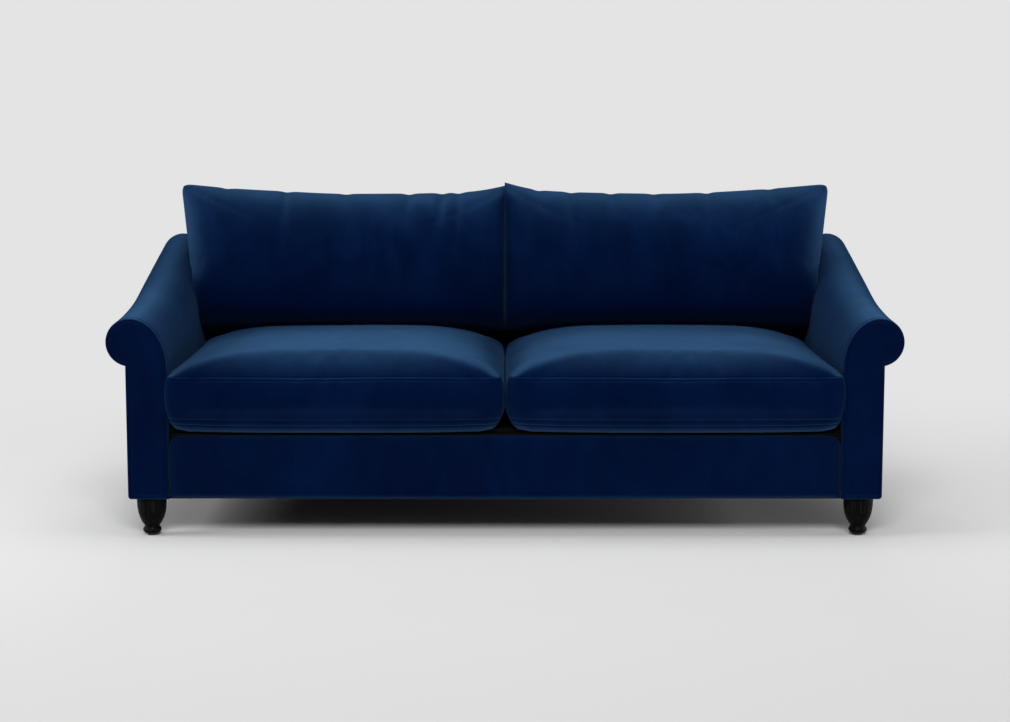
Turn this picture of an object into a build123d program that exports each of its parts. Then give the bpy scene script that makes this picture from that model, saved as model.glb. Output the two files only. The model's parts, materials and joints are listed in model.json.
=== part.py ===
from build123d import *
import math
import os

# A scroll-arm sofa with two loose seat cushions and two loose back cushions, on turned wooden legs.
# Millimetres. The origin is on the floor under the middle of the sofa. +X is to the right as seen
# from the front, the front faces -Y, and +Z is up. Left and right are those of that front view.

# Overall sizes
OVERALL_WIDTH = 2000.0  # over the two arm rolls
OVERALL_DEPTH = 950.0  # seat cushion fronts to the top edge of the outside back
LEG_HEIGHT = 100.0  # floor to the underside of the base

# Arms
ROLL_RADIUS = 61.0  # of the scroll at the top of the arm
ROLL_FRONT_RISE = 399.0  # base to the scroll's centre at the front of the arm
ROLL_REAR_RISE = 151.0  # how much higher the scroll's centre is at the back
ROLL_RISE_SHARES = (0.0, 0.06, 0.20, 0.465, 0.735, 1.0)  # of that rise, at each fifth of the arm
ARM_WIDTH = 104.0  # of the arm below the scroll
ARM_OVERHANG = 48.0  # of the scroll beyond the outside of the arm
ARM_INNER_DROP = 69.0  # scroll centre down to where the inside of the arm is upright
ARM_PAD = 35.0  # padding on the inside of the arm and round the scroll
FACING_PAD = 15.0  # padding on the front of the arm
CAVITY_GAP = 1.0  # between the padding and the timber inside it

# Timber
RAIL_HEIGHT = 157.0  # of the seat frame
RAIL_THICK = 28.0
BASE_BOARD = 22.0  # board under each arm
POST_PLY = 22.0  # shaped board at the front of each arm
TOP_RAIL_THICK = 16.0  # board inside the roll
TOP_RAIL_HALF = 18.0  # half of that board's height
ARM_BOARD = 3.0  # hardboard behind the inside arm padding
ARM_BOARD_LAP = 60.0  # of that board over the side rail
CENTER_RAIL_WIDTH = 40.0
CENTER_RAIL_DROP = 24.0  # its top below the other rails, clear of the springs
CORNER_BLOCK = 45.0
CORNER_BLOCK_HEIGHT = 90.0

# Back
RAKE = 8.0  # degrees from upright
BACK_THICK = 145.0  # inside surface to outside surface, square to the rake
BACK_TOP = 430.0  # along the rake, from the seat deck to the top
BACK_PAD = 45.0  # padding on the inside of the back
BACK_CAP = 30.0  # padding over the top of the back
BACK_CAP_ROUND = 25.0
OUTSIDE_PAD = 12.0  # padding and cloth on the outside back
BACK_POST_DEPTH = 60.0
BACK_POST_TRIM = 15.0  # spare length, sawn off level at the base board
BACK_POST_SCREW = 0.75  # share of the post's depth, to the screw in its foot
BACK_RAIL_DEPTH = 30.0
BACK_RAIL_HEIGHT = 50.0
BACK_POST_WIDTH = 44.0  # of the post in the middle of the back
WEBBING_COUNT = 10
WEBBING_WIDTH = 50.0
WEBBING_THICK = 1.8
REAR_RAIL_SET = 28.0  # seat deck's back edge to the rear seat rail

# Seat
BORDER_PAD = 25.0  # upholstered strip below the seat cushions
BORDER_LIFT = 2.0  # its bottom edge above the underside of the base
BORDER_ROUND = 20.0
DECK_THICK = 10.0
DUST_CLOTH = 1.0
SPRING_COUNT = 10
SPRING_WIRE = 1.9  # radius
SPRING_WIDTH = 52.0  # of one zigzag
SPRING_TURNS = 30
SPRING_LIFT = 4.3  # rail top to the wire's middle
TIE_WIRE = 1.5  # radius
CLIP_WIDTH = 20.0
CLIP_LENGTH = 22.0
CLIP_PLATE = 1.5
CLIP_HOOD = 9.0
CLIP_ROOF = 1.2
CLIP_EDGE = 1.0  # clip in from the edge of its rail

# Cushions
SEAT_CUSHION_HEIGHT = 219.4
SEAT_CUSHION_OVERHANG = 20.0  # of the cushions in front of the arms
SEAT_CUSHION_SIDE = 2.0  # clearance to the arm
SEAT_CUSHION_REAR = 24.0  # clearance to the inside back
SEAT_CUSHION_ROUND = 45.0
CUSHION_PART = 3.0  # between the two cushions of a row
COVER = 12.0  # cover and wadding round a cushion's filling
BACK_CUSHION_THICK = 189.0
BACK_CUSHION_FOOT = 200.0  # along the rake, before its underside is flattened on the seat
BACK_CUSHION_TOP = 562.0  # along the rake
BACK_CUSHION_FLARE = 60.0  # how much wider the cushion is at its top
BACK_CUSHION_SIDE = 14.0  # clearance to the arm at its foot
BACK_CUSHION_REAR = 6.0  # clearance to the inside back, for the zip
BACK_CUSHION_ROUND = 50.0

# Zips
ZIP_LENGTH = 640.0
ZIP_TAPE = 9.0
ZIP_THICK = 2.0
ZIP_BODY = (10.0, 3.2, 13.0)
ZIP_TAB = (6.0, 1.2, 26.0)
BACK_ZIP_RISE = 80.0  # cushion foot to its zip

# Legs
LEG_MID_X = 52.0  # leg's middle, in from the outside of the arm
LEG_FRONT_SET = 51.0  # leg's middle, behind the arm's front
LEG_REAR_SET = 62.0  # leg's middle, in front of the outside back's foot
GLIDE_RADIUS = 13.0
GLIDE_THICK = 4.0
GLIDE_NAIL = 1.5  # radius
GLIDE_NAIL_LENGTH = 14.0
FOOT_BASE = 17.5  # radii of the turning, foot upwards
FOOT_BULGE = 23.5
FOOT_NECK = 18.5
FOOT_HEIGHT = 19.5
URN = ((0.19, 27.5), (0.50, 35.4), (0.82, 37.8), (1.0, 37.4))  # share of the height, radius

# Hardware
BOLT_RADIUS = 4.0
BOLT_FIT = 0.08  # radial clearance round bolts and screws
LEG_BOLT_DEPTH = 44.0  # in the leg
LEG_BOLT_OVER = 3.0  # past the nut
NUT_BARREL = 5.2
NUT_FLANGE = 11.0
NUT_FLANGE_THICK = 1.6
NUT_POCKET = 12.0  # radius and height of the room for it in the timber above
BOLT_HEAD_RADIUS = 6.5
BOLT_HEAD = 5.5
BOLT_SINK = 8.0  # counterbore in the back post
BOLT_SINK_RADIUS = 9.0
BOLT_LENGTH = 110.0
SCREW_RADIUS = 2.2
SCREW_LENGTH = 65.0
SCREW_HEAD_RADIUS = 4.5
SCREW_HEAD = 2.5
SCREW_OFFSET = 20.0  # above and below a corner block's middle
BASE_SCREW_LENGTH = 48.0
BASE_SCREWS_PER_RAIL = 4
CLIP_SCREW_RADIUS = 1.6
CLIP_SCREW_LENGTH = 15.0

# Clearances
SOFT_GAP = 0.4  # between padded pieces that meet along a curve
REST_GAP = 0.3  # under a piece that lifts off
FAR = 4000.0  # reach of a cutting block

# Heights
BASE_Z = LEG_HEIGHT
FRAME_Z = BASE_Z + DUST_CLOTH
RAIL_TOP = FRAME_Z + RAIL_HEIGHT
BOARD_TOP = FRAME_Z + BASE_BOARD
WIRE_Z = RAIL_TOP + SPRING_LIFT
TIE_Z = WIRE_Z + SPRING_WIRE + TIE_WIRE + REST_GAP
DECK_Z = TIE_Z + TIE_WIRE + REST_GAP
DECK_TOP = DECK_Z + DECK_THICK
SEAT_Z = DECK_TOP + REST_GAP
SEAT_TOP = SEAT_Z + SEAT_CUSHION_HEIGHT
ROLL_Z = BASE_Z + ROLL_FRONT_RISE

# Widths, on the right half
ROLL_X = OVERALL_WIDTH / 2 - ROLL_RADIUS
ARM_OUTER_X = OVERALL_WIDTH / 2 - ARM_OVERHANG
ARM_INNER_X = ARM_OUTER_X - ARM_WIDTH
CAVITY_X = ARM_INNER_X + ARM_PAD
POST_X = CAVITY_X + CAVITY_GAP
LEG_X = ARM_OUTER_X - LEG_MID_X

# Depths
CUSHION_FRONT_Y = -OVERALL_DEPTH / 2
FACING_Y = CUSHION_FRONT_Y + SEAT_CUSHION_OVERHANG
POST_Y = FACING_Y + FACING_PAD
POST_REAR_Y = POST_Y + POST_PLY
FRONT_RAIL_Y = FACING_Y + BORDER_PAD
FRONT_RAIL_REAR = FRONT_RAIL_Y + RAIL_THICK
RAKE_SIN = math.sin(math.radians(RAKE))
RAKE_COS = math.cos(math.radians(RAKE))
BACK_Y = OVERALL_DEPTH / 2 - BACK_THICK * RAKE_COS - BACK_TOP * RAKE_SIN
BACK_Z = DECK_TOP + DECK_THICK
BACK = Location((0, BACK_Y, BACK_Z), (-RAKE, 0, 0))  # X, depth from the inside surface, height
OUTSIDE_V = BACK_THICK - OUTSIDE_PAD
RAIL_V = BACK_PAD + WEBBING_THICK + 2 * REST_GAP
BACK_TIMBER_TOP = BACK_TOP - BACK_CAP
REAR_RAIL_Y = BACK_Y + REAR_RAIL_SET
REAR_RAIL_REAR = REAR_RAIL_Y + RAIL_THICK
ARM_LENGTH = OVERALL_DEPTH / 2 - FACING_Y
ROLL_STEPS = len(ROLL_RISE_SHARES) - 1
ROLL_PATH = [
    (FACING_Y + ARM_LENGTH * step / ROLL_STEPS, ROLL_Z + ROLL_REAR_RISE * share)
    for step, share in enumerate(ROLL_RISE_SHARES)
]


def on_rake(v, u):
    """Y and Z of a point of the back, from its depth v and its height u along the rake."""
    return BACK_Y + v * RAKE_COS + u * RAKE_SIN, BACK_Z - v * RAKE_SIN + u * RAKE_COS


def height_on_rake(v, z):
    """Height along the rake of the point at depth v that is z above the floor."""
    return (z - BACK_Z + v * RAKE_SIN) / RAKE_COS


def depth_at(v, z):
    """Y of the raked surface at depth v, at the height z."""
    return on_rake(v, height_on_rake(v, z))[0]


OUTSIDE_FOOT_Y = depth_at(OUTSIDE_V, BASE_Z)
BASE_REAR_Y = OUTSIDE_FOOT_Y - CAVITY_GAP
LEG_FRONT_Y = FACING_Y + LEG_FRONT_SET
LEG_REAR_Y = OUTSIDE_FOOT_Y - LEG_REAR_SET
LEG_SPOTS = [(side * LEG_X, y) for y in (LEG_FRONT_Y, LEG_REAR_Y) for side in (-1, 1)]


def block(x, y, z):
    """A box between two limits along each axis."""
    limits = (x, y, z)
    middle = [(low + high) / 2 for low, high in limits]
    return Pos(*middle) * Box(*[high - low for low, high in limits])


def rod(start, end, radius):
    """A round bar between two points."""
    axis = Vector(*end) - Vector(*start)
    return extrude(Plane(start, z_dir=axis) * Circle(radius), axis.length)


def screw(start, direction, length, radius, head_radius, head):
    """A headed screw: its head's underside is at start, and its point lies along direction."""
    start = Vector(*start)
    direction = Vector(*direction)
    shank = rod(start, start + direction * length, radius)
    return shank + rod(start - direction * head, start, head_radius)


def holes_for(pieces, fit=BOLT_FIT):
    """The clearance holes for some screws, each a list of (start, direction, length, radius)."""
    return [
        rod(start, Vector(*start) + Vector(*direction) * length, radius + fit)
        for start, direction, length, radius in pieces
    ]


def drilled(shape, pieces):
    """A shape with clearance holes for some screws."""
    for hole in holes_for(pieces):
        shape = shape - hole
    return shape


def with_nut_room(shape):
    """A timber that stands on the base board, with room for the nuts of the legs."""
    for x, y in LEG_SPOTS:
        shape = shape - rod((x, y, BOARD_TOP), (x, y, BOARD_TOP + NUT_POCKET), NUT_POCKET)
    return shape


def mirrored(shape):
    """The left-hand twin of a right-hand shape."""
    return mirror(shape, about=Plane.YZ)


def arm_outline(roll_z, inset, outer_x, bottom):
    """The arm's keyhole outline in X and Z, with the scroll's centre at roll_z."""
    radius = ROLL_RADIUS - inset
    reach = outer_x - ROLL_X
    start = -math.degrees(math.acos(reach / radius))
    inner_x = ARM_INNER_X + inset
    turn_z = roll_z - ARM_INNER_DROP
    neck_z = roll_z - math.sqrt(radius**2 - reach**2)
    return make_face(
        [
            Line((outer_x, bottom), (outer_x, neck_z)),
            CenterArc((ROLL_X, roll_z), radius, start, 90 - start),
            EllipticalCenterArc(
                (ROLL_X, turn_z), ROLL_X - inner_x, radius + ARM_INNER_DROP, 90, arc_size=90
            ),
            Line((inner_x, turn_z), (inner_x, bottom)),
            Line((inner_x, bottom), (outer_x, bottom)),
        ]
    )


def pad_outline(roll_z):
    """Section of the padding: up the inside of the arm, over the scroll and round below it."""
    inner = ROLL_RADIUS - ARM_PAD
    turn_z = roll_z - ARM_INNER_DROP
    return make_face(
        [
            CenterArc((ROLL_X, roll_z), ROLL_RADIUS, -90, 180),
            EllipticalCenterArc(
                (ROLL_X, turn_z), ROLL_X - ARM_INNER_X, ROLL_RADIUS + ARM_INNER_DROP, 90, arc_size=90
            ),
            Line((ARM_INNER_X, turn_z), (ARM_INNER_X, RAIL_TOP)),
            Line((ARM_INNER_X, RAIL_TOP), (CAVITY_X, RAIL_TOP)),
            Line((CAVITY_X, RAIL_TOP), (CAVITY_X, turn_z)),
            EllipticalCenterArc(
                (ROLL_X, turn_z), ROLL_X - CAVITY_X, inner + ARM_INNER_DROP, 90, arc_size=90
            ),
            CenterArc((ROLL_X, roll_z), inner, -90, 180),
            Line((ROLL_X, roll_z - inner), (ROLL_X, roll_z - ROLL_RADIUS)),
        ]
    )


def along_arm(section):
    """A loft of one section along the arm, following the rise of the scroll."""
    return loft([Plane.XZ.offset(-y) * section(z) for y, z in ROLL_PATH])


def behind(v):
    """Everything behind a raked surface of the back."""
    return BACK * block((-FAR, FAR), (v, FAR), (-FAR, FAR))


def board_along_arm(x, low, high):
    """A board along the arm between two widths; low and high give its edges from the scroll's height."""

    def section(z):
        corners = [(x[0], low(z)), (x[1], low(z)), (x[1], high(z)), (x[0], high(z))]
        return make_face(Polyline(*corners, close=True))

    return along_arm(section)


def ahead_of(y):
    """Everything in front of an upright plane."""
    return block((-FAR, FAR), (-FAR, y), (-FAR, FAR))


# Where the fasteners go: head seat, direction, length and radius of each
BLOCK_Z = (FRAME_Z + RAIL_TOP) / 2
CORNERS = [
    (side, y, turn)
    for y, turn in ((FRONT_RAIL_REAR, 1), (REAR_RAIL_Y, -1))
    for side in (-1, 1)
]


def corner_screws():
    """Two screws through each corner block: one into the cross rail, one into the side rail."""
    found = []
    for side, y, turn in CORNERS:
        across = (side * (ARM_INNER_X - CORNER_BLOCK / 3), y + turn * CORNER_BLOCK, BLOCK_Z + SCREW_OFFSET)
        along = (side * (ARM_INNER_X - CORNER_BLOCK), y + turn * CORNER_BLOCK / 2, BLOCK_Z - SCREW_OFFSET)
        found.append((across, (0, -turn, 0), SCREW_LENGTH, SCREW_RADIUS))
        found.append((along, (side, 0, 0), SCREW_LENGTH, SCREW_RADIUS))
    return found


def base_screws():
    """Screws up through the base boards into the side rails and the posts."""
    z = FRAME_Z + SCREW_HEAD
    rail_x = (ARM_INNER_X + CAVITY_X) / 2
    post_x = (POST_X + ROLL_X) / 2
    post_y = (POST_Y + POST_REAR_Y) / 2
    back_y = depth_at(RAIL_V + BACK_POST_DEPTH * BACK_POST_SCREW, BOARD_TOP + BASE_SCREW_LENGTH / 2)
    step = (BASE_REAR_Y - POST_Y) / BASE_SCREWS_PER_RAIL
    spots = [(rail_x, POST_Y + step * (i + 0.5)) for i in range(BASE_SCREWS_PER_RAIL)]
    spots += [(post_x - SCREW_OFFSET / 2, post_y), (post_x + SCREW_OFFSET / 2, post_y), (post_x, back_y)]
    return [
        ((side * x, y, z), (0, 0, 1), BASE_SCREW_LENGTH, SCREW_RADIUS)
        for side in (-1, 1)
        for x, y in spots
    ]


def back_bolts():
    """Bolts through the back posts into the ends of the back rails."""
    v = RAIL_V + BACK_RAIL_DEPTH / 2
    found = []
    for u in (BACK_RAIL_HEIGHT / 2, BACK_TIMBER_TOP - BACK_RAIL_HEIGHT / 2):
        y, z = on_rake(v, u)
        for side in (-1, 1):
            found.append(((side * (ROLL_X - BOLT_SINK), y, z), (-side, 0, 0), BOLT_LENGTH, BOLT_RADIUS))
    return found


SPRING_STEP = 2 * ARM_INNER_X / SPRING_COUNT
SPRING_XS = [-ARM_INNER_X + SPRING_STEP * (i + 0.5) for i in range(SPRING_COUNT)]
SPRING_FRONT = FRONT_RAIL_REAR - CLIP_HOOD / 2 - CLIP_EDGE
SPRING_REAR = REAR_RAIL_Y + CLIP_HOOD / 2 + CLIP_EDGE
CLIP_SCREW_SET = (CLIP_LENGTH - CLIP_HOOD) / 2 + CLIP_HOOD / 2


def clip_spots():
    """Each spring end: X, Y and which way its clip's screw lies."""
    return [(x, y, turn) for y, turn in ((SPRING_FRONT, -1), (SPRING_REAR, 1)) for x in SPRING_XS]


def clip_screws():
    """A small screw through each spring clip into the rail under it."""
    z = RAIL_TOP + CLIP_PLATE
    return [
        ((x, y + turn * CLIP_SCREW_SET, z), (0, 0, -1), CLIP_SCREW_LENGTH, CLIP_SCREW_RADIUS)
        for x, y, turn in clip_spots()
    ]


def leg_bolts():
    """A bolt from inside each leg up through the nut in the base board."""
    start = LEG_HEIGHT - LEG_BOLT_DEPTH
    length = BOARD_TOP + NUT_FLANGE_THICK + LEG_BOLT_OVER - start
    return [((x, y, start), (0, 0, 1), length, BOLT_RADIUS) for x, y in LEG_SPOTS]


def headed(screws, head_radius, head):
    """Solids of some screws or bolts, each with its head."""
    return [screw(start, way, length, radius, head_radius, head) for start, way, length, radius in screws]


# Seat frame
def cross_rail(y0, y1):
    """A rail across the sofa between the side rails."""
    rail = block((-ARM_INNER_X, ARM_INNER_X), (y0, y1), (FRAME_Z, RAIL_TOP))
    return drilled(rail, corner_screws() + clip_screws())


def side_rail():
    """The right-hand seat rail, under the inside arm's padding."""
    rail = block((ARM_INNER_X, CAVITY_X), (POST_Y, BASE_REAR_Y), (BOARD_TOP, RAIL_TOP))
    return with_nut_room(drilled(rail, corner_screws() + base_screws()))


def base_board():
    """The board under the right arm that the legs screw to."""
    board = block((ARM_INNER_X, ROLL_X), (POST_Y, BASE_REAR_Y), (FRAME_Z, BOARD_TOP))
    board = drilled(board, base_screws())
    for start, way, _, _ in base_screws():
        board -= rod(Vector(*start) - Vector(*way) * SCREW_HEAD, start, SCREW_HEAD_RADIUS + BOLT_FIT)
    for x, y in LEG_SPOTS:
        board -= rod((x, y, FRAME_Z), (x, y, BOARD_TOP), NUT_BARREL + BOLT_FIT)
    return board


def center_rail():
    """The rail from front to back under the middle of the springs."""
    half = CENTER_RAIL_WIDTH / 2
    return block((-half, half), (FRONT_RAIL_REAR, REAR_RAIL_Y), (FRAME_Z, RAIL_TOP - CENTER_RAIL_DROP))


def corner_block(side, y, turn):
    """A glue block in one corner of the seat frame."""
    xs = sorted((side * ARM_INNER_X, side * (ARM_INNER_X - CORNER_BLOCK)))
    ys = sorted((y, y + turn * CORNER_BLOCK))
    half = CORNER_BLOCK_HEIGHT / 2
    return drilled(block(xs, ys, (BLOCK_Z - half, BLOCK_Z + half)), corner_screws())


# Arm and back timber
def arm_cavity():
    """The hollow inside the right arm, less a small gap."""
    return along_arm(lambda z: arm_outline(z, ARM_PAD + CAVITY_GAP, ROLL_X, BOARD_TOP))


def arm_front_post(cavity):
    """The shaped board behind the arm's facing."""
    post = cavity & block((-FAR, FAR), (POST_Y, POST_REAR_Y), (-FAR, FAR))
    return drilled(post, base_screws())


def arm_top_rail(cavity):
    """The board inside the roll, from the front post to the side of the back post."""
    x = (ROLL_X, ROLL_X + TOP_RAIL_THICK)
    board = board_along_arm(x, lambda z: z - TOP_RAIL_HALF, lambda z: z + TOP_RAIL_HALF)
    board -= ahead_of(POST_REAR_Y)
    board -= behind(RAIL_V + BACK_POST_DEPTH)
    return board & cavity


def arm_board():
    """Hardboard behind the inside arm's padding, nailed to the side rail."""
    x = (CAVITY_X + REST_GAP, CAVITY_X + REST_GAP + ARM_BOARD)
    foot = RAIL_TOP - ARM_BOARD_LAP
    board = board_along_arm(x, lambda z: foot, lambda z: z - ARM_INNER_DROP - CAVITY_GAP)
    board -= ahead_of(POST_REAR_Y)
    return board - behind(-REST_GAP)


def back_post():
    """The raked post at the right-hand end of the back, standing on the base board."""
    foot = height_on_rake(RAIL_V + BACK_POST_DEPTH, BOARD_TOP) - BACK_POST_TRIM
    post = BACK * block((POST_X, ROLL_X), (RAIL_V, RAIL_V + BACK_POST_DEPTH), (foot, BACK_TIMBER_TOP))
    post -= block((-FAR, FAR), (-FAR, FAR), (-FAR, BOARD_TOP))
    post = drilled(post, base_screws() + back_bolts())
    for start, way, _, _ in back_bolts():
        post -= rod(start, Vector(*start) - Vector(*way) * BOLT_SINK, BOLT_SINK_RADIUS)
    return with_nut_room(post)


def back_rail(u0):
    """A rail across the back between its posts."""
    rail = BACK * block(
        (-POST_X, POST_X), (RAIL_V, RAIL_V + BACK_RAIL_DEPTH), (u0, u0 + BACK_RAIL_HEIGHT)
    )
    return drilled(rail, back_bolts())


def back_middle_post():
    """The upright between the two back rails."""
    half = BACK_POST_WIDTH / 2
    return BACK * block(
        (-half, half),
        (RAIL_V, RAIL_V + BACK_RAIL_DEPTH),
        (BACK_RAIL_HEIGHT, BACK_TIMBER_TOP - BACK_RAIL_HEIGHT),
    )


def back_webbing():
    """Upright webbing strips on the front of the back rails."""
    v0 = BACK_PAD + REST_GAP
    step = 2 * POST_X / WEBBING_COUNT
    strips = []
    for i in range(WEBBING_COUNT):
        x = -POST_X + step * (i + 0.5)
        half = WEBBING_WIDTH / 2
        strips.append(BACK * block((x - half, x + half), (v0, v0 + WEBBING_THICK), (0, BACK_TIMBER_TOP)))
    return strips


# Springs
def zigzag_spring():
    """One sinuous spring wire from the front rail to the rear rail, at X = 0."""
    pitch = (SPRING_REAR - SPRING_FRONT) / SPRING_TURNS
    half = (SPRING_WIDTH - pitch) / 2
    edges = []
    for turn in range(SPRING_TURNS + 1):
        y = SPRING_FRONT + turn * pitch
        side = 1 if turn % 2 == 0 else -1
        edges.append(Line((-side * half, y, WIRE_Z), (side * half, y, WIRE_Z)))
        if turn < SPRING_TURNS:
            edges.append(
                ThreePointArc(
                    (side * half, y, WIRE_Z),
                    (side * (half + pitch / 2), y + pitch / 2, WIRE_Z),
                    (side * half, y + pitch, WIRE_Z),
                )
            )
    path = Wire(edges)
    return sweep(Plane(path @ 0, z_dir=path % 0) * Circle(SPRING_WIRE), path)


def spring_clip(x, y, turn):
    """A folded steel clip on a rail, with the spring's end bar through its hood."""
    half = CLIP_WIDTH / 2
    back = -turn * CLIP_HOOD / 2
    plate = block(
        (x - half, x + half),
        sorted((y + back, y + back + turn * CLIP_LENGTH)),
        (RAIL_TOP, RAIL_TOP + CLIP_PLATE),
    )
    hood = block(
        (x - half, x + half),
        (y - CLIP_HOOD / 2, y + CLIP_HOOD / 2),
        (RAIL_TOP, WIRE_Z + SPRING_WIRE + CLIP_ROOF),
    )
    clip = plate + hood - rod((x - FAR, y, WIRE_Z), (x + FAR, y, WIRE_Z), SPRING_WIRE + BOLT_FIT)
    return drilled(clip, clip_screws())


def tie_wires():
    """Two straight wires across the tops of the springs."""
    spread = SPRING_REAR - SPRING_FRONT
    ys = (SPRING_FRONT + spread / 3, SPRING_REAR - spread / 3)
    end = SPRING_XS[-1] + SPRING_WIDTH / 2
    return [rod((-end, y, TIE_Z), (end, y, TIE_Z), TIE_WIRE) for y in ys]


# Upholstery on the frame
def front_border():
    """The padded strip below the seat cushions, rounded along its top edge."""
    strip = block(
        (-ARM_INNER_X, ARM_INNER_X),
        (FACING_Y, FRONT_RAIL_Y),
        (BASE_Z + BORDER_LIFT, DECK_Z - REST_GAP),
    )
    top_front = strip.edges().filter_by(Axis.X).sort_by(Axis.Z)[-2:].sort_by(Axis.Y)[0]
    return fillet(top_front, BORDER_ROUND)


def arm_facing():
    """The padded front of the right arm."""
    outline = arm_outline(ROLL_Z, 0, ARM_OUTER_X, BASE_Z)
    return extrude(Plane.XZ.offset(-POST_Y) * outline, FACING_PAD)


def arm_pad():
    """Padding up the inside of the right arm and round its roll, as far as the outside back."""
    pad = along_arm(pad_outline)
    pad -= ahead_of(POST_Y)
    pad -= BACK * block((-FAR, ROLL_X), (-REST_GAP, FAR), (-FAR, FAR))
    return pad - behind(OUTSIDE_V)


def arm_outside():
    """The cloth-covered outside panel of the right arm, under its roll."""
    x = (ROLL_X, ARM_OUTER_X)
    panel = board_along_arm(x, lambda z: BASE_Z, lambda z: z - ROLL_RADIUS - SOFT_GAP)
    panel -= ahead_of(POST_Y)
    return panel - behind(OUTSIDE_V)


def back_inside_pad():
    """Padding on the inside of the back and over its top."""
    half = ROLL_X - REST_GAP
    foot = height_on_rake(BACK_PAD, DECK_Z)
    face = BACK * block((-half, half), (0, BACK_PAD), (foot, BACK_TOP))
    cap = BACK * block((-half, half), (0, OUTSIDE_V), (BACK_TIMBER_TOP, BACK_TOP))
    pad = face + cap
    front_edge = pad.edges().filter_by(Axis.X).sort_by(Axis.Z)[-2:].sort_by(Axis.Y)[0]
    return fillet(front_edge, BACK_CAP_ROUND)


def back_outside_panel():
    """The outside back, with a scroll end at each arm."""
    foot = height_on_rake(BACK_THICK, BASE_Z)
    roll_u = BACK_TOP - ROLL_RADIUS
    outline = Pos(0, (foot + BACK_TOP) / 2) * Rectangle(2 * ROLL_X, BACK_TOP - foot)
    outline += Pos(0, (foot + roll_u) / 2) * Rectangle(2 * ARM_OUTER_X, roll_u - foot)
    for side in (-1, 1):
        outline += Pos(side * ROLL_X, roll_u) * Circle(ROLL_RADIUS)
    return BACK * extrude(Plane.XZ.offset(-BACK_THICK) * outline, OUTSIDE_PAD)


def seat_deck():
    """The padded platform over the springs."""
    half = ARM_INNER_X - REST_GAP
    rear = depth_at(0, DECK_Z) - REST_GAP
    return block((-half, half), (FRONT_RAIL_Y, rear), (DECK_Z, DECK_TOP))


def dust_cover():
    """The black cloth under the frame."""
    cloth = block((-ROLL_X, ROLL_X), (POST_Y, BASE_REAR_Y), (BASE_Z, FRAME_Z))
    for x, y in LEG_SPOTS:
        cloth -= rod((x, y, BASE_Z), (x, y, FRAME_Z), NUT_BARREL + BOLT_FIT)
    return cloth


# Cushions
SEAT_X = (CUSHION_PART / 2, ARM_INNER_X - SEAT_CUSHION_SIDE)
SEAT_Y = (CUSHION_FRONT_Y, depth_at(0, SEAT_Z) - SEAT_CUSHION_REAR)


def seat_form(inset):
    """A rounded box: the right seat cushion, or its filling."""
    limits = [(low + inset, high - inset) for low, high in (SEAT_X, SEAT_Y, (SEAT_Z, SEAT_TOP))]
    return fillet(block(*limits).edges(), SEAT_CUSHION_ROUND - inset)


BACK_CUSHION_V = (-BACK_CUSHION_REAR - BACK_CUSHION_THICK, -BACK_CUSHION_REAR)


def back_form(inset):
    """The right back cushion or its filling: wider at its top, flat where it rests on the seat."""
    x0 = CUSHION_PART / 2 + inset
    x1 = ARM_INNER_X - BACK_CUSHION_SIDE - inset
    u0 = BACK_CUSHION_FOOT + inset
    u1 = BACK_CUSHION_TOP - inset
    v0 = BACK_CUSHION_V[0] + inset
    v1 = BACK_CUSHION_V[1] - inset
    outline = make_face(Polyline((x0, u0), (x1, u0), (x1 + BACK_CUSHION_FLARE, u1), (x0, u1), close=True))
    form = extrude(Plane.XZ.offset(-v1) * outline, v1 - v0)
    form = BACK * fillet(form.edges(), BACK_CUSHION_ROUND - inset)
    return form - block((-FAR, FAR), (-FAR, FAR), (-FAR, SEAT_TOP + REST_GAP + inset))


def zip_slider(middle):
    """A zip's slider body with its pull tab hanging from it; middle is on the zip's face."""
    width, thick, height = ZIP_BODY
    tab_width, tab_thick, tab_length = ZIP_TAB
    x, y, z = middle
    body = block((x - width / 2, x + width / 2), (y, y + thick), (z - height / 2, z + height / 2))
    tab = block(
        (x - tab_width / 2, x + tab_width / 2),
        (y + thick - tab_thick, y + thick),
        (z - tab_length, z),
    )
    return body + tab


def zip_chain(x, y, z):
    """A closed zip, centred at x, with its tape on the surface at depth y."""
    return block(
        (x - ZIP_LENGTH / 2, x + ZIP_LENGTH / 2), (y, y + ZIP_THICK), (z - ZIP_TAPE / 2, z + ZIP_TAPE / 2)
    )


ZIP_END = ZIP_LENGTH / 2 - ZIP_BODY[0]


def seat_zip():
    """The zip along the back of the right seat cushion, and its slider."""
    x = sum(SEAT_X) / 2
    z = SEAT_Z + SEAT_CUSHION_HEIGHT / 2
    face = SEAT_Y[1]
    slider = zip_slider((x + ZIP_END, face + ZIP_THICK + BOLT_FIT, z))
    return zip_chain(x, face, z), slider


def back_zip():
    """The zip low on the rear of the right back cushion, and its slider."""
    x = (ARM_INNER_X - BACK_CUSHION_SIDE + CUSHION_PART / 2) / 2
    u = BACK_CUSHION_FOOT + BACK_ZIP_RISE
    face = BACK_CUSHION_V[1]
    slider = zip_slider((x + ZIP_END, face + ZIP_THICK + BOLT_FIT, u))
    return BACK * zip_chain(x, face, u), BACK * slider


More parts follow.
